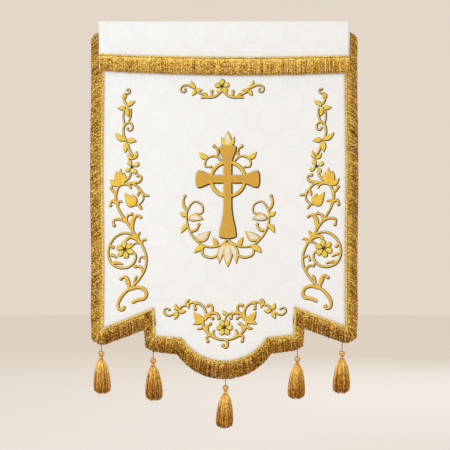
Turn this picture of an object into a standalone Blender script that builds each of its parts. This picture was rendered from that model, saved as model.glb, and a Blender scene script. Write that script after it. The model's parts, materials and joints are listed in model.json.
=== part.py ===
"""Church banner of white damask with a gold fringe and five tassels.

Run it with blender --background --python part.py, or from Blender's text editor.
Metres, +Z up, front facing -Y. The origin is the middle of the top fold.

The cloth is one piece. It is folded over to the front at the top, as a flat pole pocket.
Every piece is laid out flat first, and hang() then gives it the cloth's gentle unevenness,
so that all the layers keep their distances.
"""

import math
import random
from collections import namedtuple

import bmesh
import bpy
from mathutils import Matrix, Vector
from mathutils.geometry import intersect_line_sphere_2d

MM = 0.001

# Cloth
CLOTH_THICK = 2.0 * MM
PANEL_HALF = 313.5 * MM
HEIGHT = 881.0 * MM
CORNER_Z = -793.0 * MM
PEAK = Vector((182.0, -741.0)) * MM
STEP_CORNER = Vector((178.4, -815.0)) * MM
SCALLOP_START = Vector((109.5, -821.0)) * MM
SCALLOP_STEPS = 14
GRID = 34.0 * MM

# Pole pocket, made by the fold at the top
FOLD_RADIUS = 5.0 * MM
FOLD_STEPS = 6
POCKET_Z = -32.0 * MM
SEAM_Z = -78.0 * MM
FLAP_HEM_Z = -94.5 * MM
FLAP_REST_Y = -0.1 * MM
FLAP_ROWS = 4
FLAP_SAG = 6.5 * MM
FLAP_TILT = 2.3 * MM

# Unevenness of the hanging cloth
WAVE_FULL_Z = -350.0 * MM
HEM_TILT = 2.7 * MM
EDGE_WANDER = 1.2 * MM
WANDER_LENGTH = 520.0 * MM
Wave = namedtuple("Wave", "height across down phase")
WAVES = (
    Wave(height=1.9 * MM, across=380.0 * MM, down=2600.0 * MM, phase=0.6),
    Wave(height=1.1 * MM, across=540.0 * MM, down=-760.0 * MM, phase=1.9),
)

# Fringe: a braid heading with locks of strands
HEADING = 14.0 * MM
FLAP_HEADING = 10.0 * MM
HEADING_THICK = 2.0 * MM
HEM_COVER = 1.0 * MM
SEW_GAP = 0.5 * MM
MITRE_GAP = 0.5 * MM
SIDE_TOP_Z = -23.5 * MM
LOCK_PITCH = 15.6 * MM
LOCK_GAP = 2.0 * MM
LOCK_THICK = 3.4 * MM
LOCK_TIP_THICK = 2.4 * MM
LOCK_BEND = 0.6
LOCK_FALL = 0.4
LOCK_RAGGED = 1.5 * MM
CORNER_FADE = 70.0 * MM
Hang = namedtuple("Hang", "reach drop start_scale end_scale skip_end")
HANGS = {
    "flap": Hang(reach=9.0 * MM, drop=26.0 * MM, start_scale=1, end_scale=1, skip_end=0),
    "side": Hang(reach=17.5 * MM, drop=28.0 * MM, start_scale=1, end_scale=0.45, skip_end=0),
    "slant": Hang(reach=8.0 * MM, drop=26.0 * MM, start_scale=0.8, end_scale=1, skip_end=1),
    "step": Hang(reach=11.0 * MM, drop=30.0 * MM, start_scale=1, end_scale=0.8, skip_end=0),
    "level": Hang(reach=8.0 * MM, drop=23.0 * MM, start_scale=0.9, end_scale=1, skip_end=0),
    "scallop": Hang(reach=2.0 * MM, drop=33.0 * MM, start_scale=1, end_scale=1, skip_end=0),
}

# Tassels
CORD_RADIUS = 1.1 * MM
CORD_SIDES = 8
CORD_SHARP = math.radians(50)
CORD_LAP = 9.0 * MM
BEAD_RADIUS = 8.4 * MM
BEAD_SIDES = 12
BEAD_ROWS = 8
PIECE_GAP = 0.3 * MM
SKIRT_LOCKS = 14
SKIRT_CLOSE = 0.84
SKIRT_HEART = 2.5 * MM
SKIRT_CORE = 0.2
Ring = namedtuple("Ring", "fall radius")
HEAD_RINGS = (
    Ring(fall=0.0 * MM, radius=3.6 * MM),
    Ring(fall=4.0 * MM, radius=5.0 * MM),
    Ring(fall=14.0 * MM, radius=12.0 * MM),
    Ring(fall=24.0 * MM, radius=15.2 * MM),
)
SKIRT_RINGS = (
    Ring(fall=44.0 * MM, radius=19.2 * MM),
    Ring(fall=76.0 * MM, radius=22.3 * MM),
    Ring(fall=94.0 * MM, radius=18.6 * MM),
)
Tassel = namedtuple("Tassel", "place x bead_z in_front")
TASSELS = (
    Tassel(place="left_corner", x=-320.0 * MM, bead_z=-863.7 * MM, in_front=False),
    Tassel(place="left_step", x=-185.2 * MM, bead_z=-882.4 * MM, in_front=False),
    Tassel(place="centre", x=3.5 * MM, bead_z=-952.4 * MM, in_front=True),
    Tassel(place="right_step", x=190.5 * MM, bead_z=-878.3 * MM, in_front=False),
    Tassel(place="right_corner", x=307.0 * MM, bead_z=-863.2 * MM, in_front=False),
)

# Values worked out from those above
FOLD_ARC = math.pi * FOLD_RADIUS
PANEL_Y = FOLD_RADIUS
SCALLOP_RISE = SCALLOP_START.y + HEIGHT
SCALLOP_RADIUS = (SCALLOP_START.x ** 2 + SCALLOP_RISE ** 2) / (2 * SCALLOP_RISE)
SCALLOP_CENTRE = Vector((0.0, SCALLOP_RADIUS - HEIGHT))
CLOTH_EDGE = HEADING - HEM_COVER
CLOTH_HALF = PANEL_HALF + CLOTH_EDGE

Look = namedtuple("Look", "name colour metallic roughness")
DAMASK = Look("white_damask", (0.90, 0.89, 0.86, 1.0), 0.0, 0.55)
FRINGE = Look("gold_fringe", (0.62, 0.40, 0.09, 1.0), 0.6, 0.42)
CORD = Look("gold_cord", (0.60, 0.36, 0.07, 1.0), 0.3, 0.5)
BEAD = Look("gold_bead", (0.72, 0.43, 0.11, 1.0), 0.5, 0.32)
SILK = Look("gold_silk", (0.70, 0.38, 0.07, 1.0), 0.2, 0.36)


def smooth_ramp(value):
    """Ease a value from 0 to 1."""
    value = max(0.0, min(1.0, value))
    return value * value * (3 - 2 * value)


def hang(point):
    """Give a point of the flat layout its place on the uneven cloth."""
    x, y, z = point
    share = x / PANEL_HALF
    depth = -z / HEIGHT
    full = smooth_ramp(z / WAVE_FULL_Z)
    for wave in WAVES:
        turn = math.tau * (x / wave.across + z / wave.down) + wave.phase
        y += full * wave.height * math.sin(turn)
    x += EDGE_WANDER * share * math.sin(math.tau * z / WANDER_LENGTH)
    z += HEM_TILT * share * depth
    return Vector((x, y, z))


def flap_y(z):
    """Middle of the flap: held off the panel by the pocket, and close to it at the seam."""
    ease = smooth_ramp((z - POCKET_Z) / (SEAM_Z - POCKET_Z))
    return -FOLD_RADIUS + ease * (FOLD_RADIUS + FLAP_REST_Y)


def flap_point(x, y, z):
    """Lower a point of the flap by its sag and its tilt."""
    share = x / CLOTH_HALF
    lower = FLAP_SAG * (1 - share * share) + FLAP_TILT * share
    return Vector((x, y, z - lower * z / FLAP_HEM_Z))


def folded(x, run):
    """Lay a point of the flat cloth round the top fold. run counts up the cloth."""
    bend = run + FOLD_RADIUS
    if bend <= 0:
        return Vector((x, PANEL_Y, run))
    if bend >= FOLD_ARC:
        z = -FOLD_RADIUS - (bend - FOLD_ARC)
        return flap_point(x, flap_y(z), z)
    angle = bend / FOLD_RADIUS
    return Vector((x, FOLD_RADIUS * math.cos(angle), FOLD_RADIUS * (math.sin(angle) - 1)))


def outward(start, end):
    """The side of a lower edge that faces away from the cloth, on the right half."""
    along = (end - start).normalized()
    return Vector((-along.y, along.x))


def mitre(before, corner, after, distance):
    """Move a corner out so that both of its edges move by the same distance."""
    first = outward(before, corner)
    second = outward(corner, after)
    return corner + (first + second) * distance / (1 + first.dot(second))


def edge_corners(distance):
    """Corners of the right half's lower edge, a distance outside the heading's inner edge."""
    top = Vector((PANEL_HALF, SIDE_TOP_Z))
    inner = (top, Vector((PANEL_HALF, CORNER_Z)), PEAK, STEP_CORNER, SCALLOP_START)
    corners = [top + Vector((distance, 0))]
    for index in range(1, len(inner) - 1):
        corners.append(mitre(inner[index - 1], inner[index], inner[index + 1], distance))
    away = outward(STEP_CORNER, SCALLOP_START) * distance
    start = STEP_CORNER + away
    end = SCALLOP_START + away
    hits = intersect_line_sphere_2d(start, end, SCALLOP_CENTRE, SCALLOP_RADIUS + distance, False)
    corners.append(max((hit for hit in hits if hit), key=lambda hit: hit.x))
    return corners


def scallop_points(distance, steps):
    """The middle lobe, from its right end round to its left end."""
    right = edge_corners(distance)[-1] - SCALLOP_CENTRE
    reach = math.atan2(right.x, -right.y)
    points = []
    for step in range(steps + 1):
        angle = reach * (1 - 2 * step / steps)
        swing = Vector((math.sin(angle), -math.cos(angle)))
        points.append(SCALLOP_CENTRE + swing * (SCALLOP_RADIUS + distance))
    return points


def even_cuts(low, high, size):
    """Places inside a range that part it into equal steps of about one size."""
    count = max(1, round((high - low) / size))
    return [low + (high - low) * step / count for step in range(1, count)]


def add_object(name, mesh_data, look, parent, collection):
    """Put a finished mesh into the scene with its material."""
    mesh = bpy.data.meshes.new(name)
    mesh_data.to_mesh(mesh)
    mesh_data.free()
    mesh.materials.append(material(look))
    item = bpy.data.objects.new(name, mesh)
    item.parent = parent
    collection.objects.link(item)
    return item


def material(look):
    """One Principled material for each look."""
    found = bpy.data.materials.get(look.name)
    if found:
        return found
    made = bpy.data.materials.new(look.name)
    made.use_nodes = True
    shader = made.node_tree.nodes["Principled BSDF"]
    shader.inputs["Base Color"].default_value = look.colour
    shader.inputs["Metallic"].default_value = look.metallic
    shader.inputs["Roughness"].default_value = look.roughness
    return made


def cloth_outline(hem_run):
    """The flat cloth, from the flap's hem down the right edge and up the left."""
    right = [Vector((CLOTH_HALF, hem_run))] + edge_corners(CLOTH_EDGE)[1:-1]
    lobe = scallop_points(CLOTH_EDGE, SCALLOP_STEPS)
    left = [Vector((-point.x, point.y)) for point in reversed(right)]
    return right + lobe + left


def make_cloth(parent, collection):
    """The cloth, cut flat, folded over the top and hung."""
    hem_run = FOLD_ARC - 2 * FOLD_RADIUS - FLAP_HEM_Z
    mesh = bmesh.new()
    mesh.faces.new([mesh.verts.new((point.x, 0, point.y)) for point in cloth_outline(hem_run)])
    fold_start = -FOLD_RADIUS
    fold_end = fold_start + FOLD_ARC
    rows = even_cuts(-HEIGHT - CLOTH_EDGE, fold_start, GRID)
    rows += [fold_start + FOLD_ARC * step / FOLD_STEPS for step in range(FOLD_STEPS + 1)]
    rows += even_cuts(fold_end, hem_run, (hem_run - fold_end) / FLAP_ROWS)
    for run in rows:
        cut_sheet(mesh, (0, 0, run), (0, 0, 1))
    for x in even_cuts(-CLOTH_HALF, CLOTH_HALF, GRID):
        cut_sheet(mesh, (x, 0, 0), (1, 0, 0))
    for vert in mesh.verts:
        vert.co = hang(folded(vert.co.x, vert.co.z))
    cloth = add_object("banner_cloth", mesh, DAMASK, parent, collection)
    cloth.data.shade_smooth()
    thick = cloth.modifiers.new("thickness", "SOLIDIFY")
    thick.thickness = CLOTH_THICK
    thick.offset = 0
    thick.use_even_offset = True
    return cloth


def cut_sheet(mesh, place, normal):
    """Split a flat sheet along one line."""
    everything = mesh.verts[:] + mesh.edges[:] + mesh.faces[:]
    bmesh.ops.bisect_plane(mesh, geom=everything, dist=1e-6, plane_co=place, plane_no=normal)


def point_along(points, share):
    """A place on a line of points, at a share of its length."""
    lengths = [(end - start).length for start, end in zip(points, points[1:])]
    wanted = share * sum(lengths)
    for start, end, length in zip(points, points[1:], lengths):
        if wanted <= length:
            return start.lerp(end, wanted / length)
        wanted -= length
    return points[-1].copy()


def line_length(points):
    """Length of a line of points."""
    return sum((end - start).length for start, end in zip(points, points[1:]))


def make_heading(inner, outer, back_y, count):
    """The braid heading between two edges, with one outer face for the root of each lock."""
    mesh = bmesh.new()
    # A flat strip from -0.5 to 0.5, whose length becomes the share of the way along the edges.
    bmesh.ops.create_grid(mesh, x_segments=count, y_segments=1, size=0.5)
    rim = mesh.verts.layers.int.new("rim")
    trim = MITRE_GAP / line_length(outer)
    for vert in mesh.verts:
        share = trim + (vert.co.x + 0.5) * (1 - 2 * trim)
        vert[rim] = int(vert.co.y > 0)
        place = point_along(outer if vert[rim] else inner, share)
        vert.co = (place.x, back_y, place.y)
    grown = bmesh.ops.extrude_face_region(mesh, geom=mesh.faces[:], use_keep_orig=True)["geom"]
    front = [item for item in grown if isinstance(item, bmesh.types.BMVert)]
    bmesh.ops.translate(mesh, verts=front, vec=(0, -HEADING_THICK, 0))
    roots = [face for face in mesh.faces if all(vert[rim] for vert in face.verts)]
    start = Vector((outer[0].x, back_y, outer[0].y))
    roots.sort(key=lambda face: (face.calc_center_median() - start).length)
    return mesh, roots


def root_directions(root_face, middle):
    """The way along a root, and the way out of the cloth from it."""
    back = [vert.co for vert in root_face.verts if vert.co.y > root_face.calc_center_median().y]
    along = (back[1] - back[0]).normalized()
    away = Vector((-along.z, 0, along.x))
    if away.dot(root_face.calc_center_median() - middle) < 0:
        away.negate()
    return along, away


def lock_rings(root, along, away, hang_row, scale, ragged):
    """Place, width along the edge and thickness of the rings of a lock below its root."""
    drop = hang_row.drop * (1 + scale) / 2 + ragged
    reach = hang_row.reach * scale
    bend = root + away * reach * LOCK_BEND - Vector((0, 0, drop * LOCK_FALL))
    tip = root + away * reach - Vector((0, 0, drop))
    rings = []
    for start, end, thick in ((root, bend, LOCK_THICK), (bend, tip, LOCK_TIP_THICK)):
        slant = (end - start).normalized().cross(along).length
        rings.append((end, LOCK_PITCH - LOCK_GAP / slant, thick))
    return rings


def grow_lock(mesh, face, along, rings):
    """Draw a four-sided lock out of its root, in rings parallel to the edge that it hangs from."""
    for place, width, thick in rings:
        centre = face.calc_center_median()
        face = bmesh.ops.extrude_discrete_faces(mesh, faces=[face])["faces"][0]
        for vert in face.verts:
            side = math.copysign(width / 2, (vert.co - centre).dot(along))
            depth = math.copysign(thick / 2, vert.co.y - centre.y)
            vert.co = place + along * side + Vector((0, depth, 0))


def make_fringe(name, inner, outer, kind, back_y, parent, collection):
    """A braid heading between two edges, with its locks."""
    hang_row = HANGS[kind]
    total = line_length(outer)
    mesh, roots = make_heading(inner, outer, back_y, round(total / LOCK_PITCH))
    middle = sum((vert.co for vert in mesh.verts), Vector()) / len(mesh.verts)
    dice = random.Random(name)
    for index in range(len(roots) - hang_row.skip_end):
        root = roots[index].calc_center_median()
        place = total * (index + 0.5) / len(roots)
        near_start = 1 - smooth_ramp(place / CORNER_FADE)
        near_end = 1 - smooth_ramp((total - place) / CORNER_FADE)
        scale = 1 - near_start * (1 - hang_row.start_scale) - near_end * (1 - hang_row.end_scale)
        along, away = root_directions(roots[index], middle)
        ragged = dice.uniform(-LOCK_RAGGED, LOCK_RAGGED)
        grow_lock(mesh, roots[index], along, lock_rings(root, along, away, hang_row, scale, ragged))
    for vert in mesh.verts:
        if kind == "flap":
            vert.co = flap_point(*vert.co)
        vert.co = hang(vert.co)
    bmesh.ops.recalc_face_normals(mesh, faces=mesh.faces[:])
    return add_object(name, mesh, FRINGE, parent, collection)


def mirrored(points, side):
    """Points of the right half, or of the left half for a side of -1."""
    return [Vector((point.x * side, point.y)) for point in points]


def make_fringes(parent, collection):
    """Trims along the flap's hem and round the panel, parted at the mitred corners."""
    low = FLAP_HEM_Z - HEM_COVER
    top_edge = [Vector((-CLOTH_HALF, low + FLAP_HEADING)), Vector((CLOTH_HALF, low + FLAP_HEADING))]
    low_edge = [Vector((-CLOTH_HALF, low)), Vector((CLOTH_HALF, low))]
    flap_back = FLAP_REST_Y - CLOTH_THICK / 2 - SEW_GAP
    make_fringe("flap_fringe", top_edge, low_edge, "flap", flap_back, parent, collection)
    panel_back = PANEL_Y - CLOTH_THICK / 2 - SEW_GAP
    inner = edge_corners(0)
    outer = edge_corners(HEADING)
    for hand, side in (("left", -1), ("right", 1)):
        for index, kind in enumerate(("side", "slant", "step", "level")):
            within = mirrored(inner[index:index + 2], side)
            rim = mirrored(outer[index:index + 2], side)
            make_fringe(f"{kind}_fringe_{hand}", within, rim, kind, panel_back, parent, collection)
    within = scallop_points(0, SCALLOP_STEPS * 2)
    rim = scallop_points(HEADING, SCALLOP_STEPS * 2)
    make_fringe("scallop_fringe", within, rim, "scallop", panel_back, parent, collection)


def hem_z(x):
    """Lowest point of the cloth at one place across it."""
    line = cloth_outline(0)
    crossings = []
    for start, end in zip(line, line[1:]):
        if min(start.x, end.x) <= x <= max(start.x, end.x) and start.x != end.x:
            crossings.append(start.lerp(end, (x - start.x) / (end.x - start.x)).y)
    return min(crossings)


def make_cord(name, place, top, low, parent, collection):
    """A short upright cord."""
    mesh = bmesh.new()
    bmesh.ops.create_cone(mesh, cap_ends=True, segments=CORD_SIDES, depth=top - low,
                          radius1=CORD_RADIUS, radius2=CORD_RADIUS)
    cord = add_object(name, mesh, CORD, parent, collection)
    cord.data.shade_smooth()
    cord.data.set_sharp_from_angle(angle=CORD_SHARP)
    cord.location = (place.x, place.y, (top + low) / 2)


def make_bead(name, location, parent, collection):
    """A round bead."""
    mesh = bmesh.new()
    bmesh.ops.create_uvsphere(mesh, u_segments=BEAD_SIDES, v_segments=BEAD_ROWS, radius=BEAD_RADIUS)
    bead = add_object(name, mesh, BEAD, parent, collection)
    bead.data.shade_smooth()
    bead.location = location


def grow_skirt_lock(mesh, face, ragged):
    """Draw one wedge of the skirt down from the head."""
    middle = face.calc_center_median()
    centre_angle = math.atan2(middle.y, middle.x)
    half_angle = SKIRT_CLOSE * math.pi / SKIRT_LOCKS
    for ring in SKIRT_RINGS:
        last = face.calc_center_median().xy.length
        face = bmesh.ops.extrude_discrete_faces(mesh, faces=[face])["faces"][0]
        for vert in face.verts:
            turn = math.atan2(vert.co.y, vert.co.x) - centre_angle
            turn = math.remainder(turn, math.tau)
            angle = centre_angle + math.copysign(half_angle, turn)
            radius = ring.radius if vert.co.xy.length > last else ring.radius * SKIRT_CORE
            fall = ring.fall + ragged * ring.fall / SKIRT_RINGS[-1].fall
            vert.co = (radius * math.cos(angle), radius * math.sin(angle), -fall)


def make_skirt(name, location, parent, collection):
    """A bound head with its skirt of threads in locks."""
    mesh = bmesh.new()
    first, second = HEAD_RINGS[:2]
    bmesh.ops.create_cone(mesh, cap_ends=True, segments=SKIRT_LOCKS, depth=second.fall,
                          radius1=second.radius, radius2=first.radius,
                          matrix=Matrix.Translation((0, 0, -second.fall / 2)))
    face = min(mesh.faces, key=lambda item: item.calc_center_median().z)
    for ring, last in zip(HEAD_RINGS[2:], HEAD_RINGS[1:]):
        face = bmesh.ops.extrude_discrete_faces(mesh, faces=[face])["faces"][0]
        grow = ring.radius / last.radius
        bmesh.ops.scale(mesh, verts=face.verts[:], vec=(grow, grow, 1))
        bmesh.ops.translate(mesh, verts=face.verts[:], vec=(0, 0, last.fall - ring.fall))
    width = HEAD_RINGS[-1].radius - SKIRT_HEART
    roots = bmesh.ops.inset_region(mesh, faces=[face], thickness=width)["faces"]
    dice = random.Random(name)
    for root in roots:
        grow_skirt_lock(mesh, root, dice.uniform(-LOCK_RAGGED, LOCK_RAGGED))
    bmesh.ops.recalc_face_normals(mesh, faces=mesh.faces[:])
    skirt = add_object(name, mesh, SILK, parent, collection)
    skirt.location = location


def make_tassels(parent, collection):
    """Tassels under the hem: the middle one's cord runs over the fringe, the others behind it."""
    behind = PANEL_Y + CLOTH_THICK / 2 + SEW_GAP + CORD_RADIUS
    lock_front = PANEL_Y - CLOTH_THICK / 2 - SEW_GAP - (HEADING_THICK + LOCK_THICK) / 2
    before = lock_front - SEW_GAP - CORD_RADIUS
    for tassel in TASSELS:
        name = f"tassel_{tassel.place}"
        anchor = hang((tassel.x, before if tassel.in_front else behind, hem_z(tassel.x)))
        centre = Vector((tassel.x, anchor.y, tassel.bead_z))
        bead_top = tassel.bead_z + BEAD_RADIUS + PIECE_GAP
        make_cord(f"{name}_cord", centre, anchor.z + CORD_LAP, bead_top, parent, collection)
        make_bead(f"{name}_bead", centre, parent, collection)
        head_top = centre - Vector((0, 0, BEAD_RADIUS + PIECE_GAP))
        make_skirt(f"{name}_skirt", head_top, parent, collection)


def main():
    """Build the banner in an empty scene."""
    for item in list(bpy.data.objects):
        bpy.data.objects.remove(item)
    collection = bpy.data.collections.new("church_banner")
    bpy.context.scene.collection.children.link(collection)
    origin = bpy.data.objects.new("church_banner_origin", None)
    collection.objects.link(origin)
    make_cloth(origin, collection)
    make_fringes(origin, collection)
    make_tassels(origin, collection)


main()
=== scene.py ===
import json
import math
from collections import namedtuple
from functools import partial

import bmesh
import bpy
import numpy as np
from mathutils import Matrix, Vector
from mathutils.geometry import intersect_line_sphere_2d

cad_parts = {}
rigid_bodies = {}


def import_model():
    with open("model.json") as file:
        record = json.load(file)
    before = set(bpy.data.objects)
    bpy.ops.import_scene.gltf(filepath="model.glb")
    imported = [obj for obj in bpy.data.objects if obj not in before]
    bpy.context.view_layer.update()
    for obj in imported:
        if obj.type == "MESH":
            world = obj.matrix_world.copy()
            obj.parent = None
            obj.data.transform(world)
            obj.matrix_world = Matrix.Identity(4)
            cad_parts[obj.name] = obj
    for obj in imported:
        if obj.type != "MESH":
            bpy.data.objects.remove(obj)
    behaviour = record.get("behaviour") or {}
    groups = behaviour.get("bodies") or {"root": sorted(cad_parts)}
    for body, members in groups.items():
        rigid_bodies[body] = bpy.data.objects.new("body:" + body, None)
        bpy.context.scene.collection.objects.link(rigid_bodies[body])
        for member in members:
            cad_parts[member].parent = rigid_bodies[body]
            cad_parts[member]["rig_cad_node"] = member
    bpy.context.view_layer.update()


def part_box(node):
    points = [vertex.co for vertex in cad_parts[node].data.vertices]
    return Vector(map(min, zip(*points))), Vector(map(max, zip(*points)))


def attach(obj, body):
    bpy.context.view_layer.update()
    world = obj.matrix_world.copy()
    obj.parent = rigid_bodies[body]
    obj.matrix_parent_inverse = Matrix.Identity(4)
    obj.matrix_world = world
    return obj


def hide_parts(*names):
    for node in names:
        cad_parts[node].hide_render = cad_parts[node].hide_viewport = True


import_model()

bl_info = {
    "name": "Church banner",
    "version": (1, 0, 0),
    "blender": (4, 5, 0),
    "location": "View3D > Sidebar > Church banner",
    "description": "Damask cloth, gold fringe, tassels and embroidery of a hanging church banner",
    "category": "Object",
}

BODY = "root"
MM = 0.001

# Cloth, as it is cut, folded and hung
CLOTH_THICK = 2.0 * MM
PANEL_HALF = 313.5 * MM
HEIGHT = 881.0 * MM
CORNER_Z = -793.0 * MM
PEAK = Vector((182.0, -741.0)) * MM
STEP_CORNER = Vector((178.4, -815.0)) * MM
SCALLOP_START = Vector((109.5, -821.0)) * MM
SCALLOP_STEPS = 48
FOLD_RADIUS = 5.0 * MM
FOLD_STEPS = 12
POCKET_Z = -32.0 * MM
SEAM_Z = -78.0 * MM
FLAP_HEM_Z = -94.5 * MM
FLAP_REST_Y = -0.1 * MM
FLAP_SAG = 6.5 * MM
FLAP_TILT = 2.3 * MM
WAVE_FULL_Z = -350.0 * MM
HEM_TILT = 2.7 * MM
EDGE_WANDER = 1.2 * MM
WANDER_LENGTH = 520.0 * MM
Wave = namedtuple("Wave", "height across down phase")
WAVES = (
    Wave(height=1.9 * MM, across=380.0 * MM, down=2600.0 * MM, phase=0.6),
    Wave(height=1.1 * MM, across=540.0 * MM, down=-760.0 * MM, phase=1.9),
)

# Trims, as they are sewn along the edges
HEADING = 14.0 * MM
FLAP_HEADING = 10.0 * MM
HEM_COVER = 1.0 * MM
SEW_GAP = 0.5 * MM
SIDE_TOP_Z = -23.5 * MM
CORNER_FADE = 70.0 * MM
TRIM_END = 0.7 * MM
Trim = namedtuple("Trim", "reach drop start_scale end_scale pitch fan tone")
# The tone column sets each trim's middle tone: lighter on the flap's trim and darker on the lower trims.
TRIMS = {
    "flap": Trim(9.0 * MM, 26.0 * MM, 1, 1, 1.6 * MM, 0, 0.62),
    "side": Trim(19.5 * MM, 26.0 * MM, 1, 0.85, 2.4 * MM, 26, 0.5),
    "slant": Trim(8.0 * MM, 25.0 * MM, 0.9, 1, 1.6 * MM, 0, 0.42),
    "step": Trim(14.0 * MM, 27.0 * MM, 1, 0.9, 2.2 * MM, 22, 0.42),
    "level": Trim(8.0 * MM, 23.0 * MM, 0.9, 1, 1.5 * MM, 0, 0.4),
    "scallop": Trim(2.0 * MM, 33.0 * MM, 1, 1, 1.5 * MM, 0, 0.38),
}
EDGE_ORDER = ("side", "slant", "step", "level")
HANDS = {"left": -1, "right": 1}

# Values worked out from those above
FOLD_ARC = math.pi * FOLD_RADIUS
HEM_RUN = FOLD_ARC - 2 * FOLD_RADIUS - FLAP_HEM_Z
PANEL_Y = FOLD_RADIUS
PANEL_FRONT = PANEL_Y - CLOTH_THICK / 2
PANEL_BACK = PANEL_Y + CLOTH_THICK / 2
FLAP_FRONT = FLAP_REST_Y - CLOTH_THICK / 2
SCALLOP_RISE = SCALLOP_START.y + HEIGHT
SCALLOP_RADIUS = (SCALLOP_START.x ** 2 + SCALLOP_RISE ** 2) / (2 * SCALLOP_RISE)
SCALLOP_CENTRE = Vector((0.0, SCALLOP_RADIUS - HEIGHT))
CLOTH_EDGE = HEADING - HEM_COVER
CLOTH_HALF = PANEL_HALF + CLOTH_EDGE


def linear(hex_colour):
    """An sRGB hex colour as the linear values that Blender works in."""
    parts = [int(hex_colour[place:place + 2], 16) / 255 for place in (1, 3, 5)]
    return tuple(part / 12.92 if part <= 0.04045 else ((part + 0.055) / 1.055) ** 2.4 for part in parts)


def opaque(colour):
    """A colour with full opacity."""
    return (*colour[:3], 1.0)


# The cloth's shape

def smooth_ramp(value):
    """Ease values from 0 to 1."""
    value = np.clip(value, 0.0, 1.0)
    return value * value * (3 - 2 * value)


def hang(points):
    """Give points of the flat layout their places on the uneven cloth."""
    x, y, z = np.moveaxis(np.asarray(points, float), -1, 0)
    share = x / PANEL_HALF
    lift = np.zeros_like(x)
    for wave in WAVES:
        turn = math.tau * (x / wave.across + z / wave.down) + wave.phase
        lift += wave.height * np.sin(turn)
    across = x + EDGE_WANDER * share * np.sin(math.tau * z / WANDER_LENGTH)
    return np.stack((across, y + smooth_ramp(z / WAVE_FULL_Z) * lift, z - HEM_TILT * share * z / HEIGHT), -1)


def flap_y(z):
    """Middle of the flap: held off the panel by the pocket, and close to it at the seam."""
    return -FOLD_RADIUS + smooth_ramp((z - POCKET_Z) / (SEAM_Z - POCKET_Z)) * (FOLD_RADIUS + FLAP_REST_Y)


def flap_point(points):
    """Lower points of the flap by its sag and its tilt."""
    x, y, z = np.moveaxis(np.asarray(points, float), -1, 0)
    share = x / CLOTH_HALF
    lower = FLAP_SAG * (1 - share * share) + FLAP_TILT * share
    return np.stack((x, y, z - lower * z / FLAP_HEM_Z), -1)


def folded(flat):
    """Lay points (x, run) of the flat cloth round the top fold. run counts up the cloth."""
    x, run = np.moveaxis(np.asarray(flat, float), -1, 0)
    bend = run + FOLD_RADIUS
    angle = np.clip(bend / FOLD_RADIUS, 0.0, math.pi)
    flap_z = FOLD_ARC - 2 * FOLD_RADIUS - run
    on_flap = bend >= FOLD_ARC
    y = np.where(on_flap, flap_y(flap_z), FOLD_RADIUS * np.cos(angle))
    z = np.where(on_flap, flap_z, np.where(bend <= 0, run, FOLD_RADIUS * (np.sin(angle) - 1)))
    points = np.stack((x, y, z), -1)
    return np.where(on_flap[..., None], flap_point(points), points)


def outward(start, end):
    """The side of a lower edge that faces away from the cloth, on the right half."""
    along = (end - start).normalized()
    return Vector((-along.y, along.x))


def mitre(before, corner, after, distance):
    """Move a corner out so that both of its edges move by the same distance."""
    first = outward(before, corner)
    second = outward(corner, after)
    return corner + (first + second) * distance / (1 + first.dot(second))


def edge_corners(distance):
    """Corners of the right half's lower edge, a distance outside the heading's inner edge."""
    top = Vector((PANEL_HALF, SIDE_TOP_Z))
    inner = (top, Vector((PANEL_HALF, CORNER_Z)), PEAK, STEP_CORNER, SCALLOP_START)
    corners = [top + Vector((distance, 0))]
    for index in range(1, len(inner) - 1):
        corners.append(mitre(inner[index - 1], inner[index], inner[index + 1], distance))
    away = outward(STEP_CORNER, SCALLOP_START) * distance
    start = STEP_CORNER + away
    end = SCALLOP_START + away
    hits = intersect_line_sphere_2d(start, end, SCALLOP_CENTRE, SCALLOP_RADIUS + distance, False)
    corners.append(max((hit for hit in hits if hit), key=lambda hit: hit.x))
    return corners


def scallop_points(distance, steps):
    """The middle lobe, from its right end round to its left end."""
    right = edge_corners(distance)[-1] - SCALLOP_CENTRE
    reach = math.atan2(right.x, -right.y)
    points = []
    for step in range(steps + 1):
        angle = reach * (1 - 2 * step / steps)
        swing = Vector((math.sin(angle), -math.cos(angle)))
        points.append(SCALLOP_CENTRE + swing * (SCALLOP_RADIUS + distance))
    return points


def cloth_outline():
    """The flat cloth, from the flap's hem down the right edge and up the left."""
    right = [Vector((CLOTH_HALF, HEM_RUN))] + edge_corners(CLOTH_EDGE)[1:-1]
    left = [Vector((-point.x, point.y)) for point in reversed(right)]
    return right + scallop_points(CLOTH_EDGE, SCALLOP_STEPS) + left


# Settings

def colour_property(name, description, hex_colour):
    """A colour, given by its sRGB hex value."""
    return bpy.props.FloatVectorProperty(name=name, description=description, subtype="COLOR",
                                         min=0, max=1, default=linear(hex_colour))


def length_property(name, description, default, low=0.0):
    """A length in metres."""
    return bpy.props.FloatProperty(name=name, description=description, subtype="DISTANCE",
                                   unit="LENGTH", min=low, default=default)


class BannerClothSettings(bpy.types.PropertyGroup):
    """Sizes and colours of the damask."""
    colour: colour_property("Ground", "Off-white of the damask's ground", "#ecebe9")
    figure: colour_property("Figure", "White of the woven ring medallions", "#efefed")
    spacing: length_property("Mesh spacing", "Distance between the cloth's mesh lines", 9 * MM, 2 * MM)
    repeat_across: length_property("Repeat across", "Distance between medallions in a row", 99 * MM, 10 * MM)
    repeat_down: length_property("Repeat down", "Distance between medallions in a column", 99 * MM, 10 * MM)
    medallion: length_property("Medallion", "Radius of a ring medallion", 24 * MM, 5 * MM)


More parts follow.
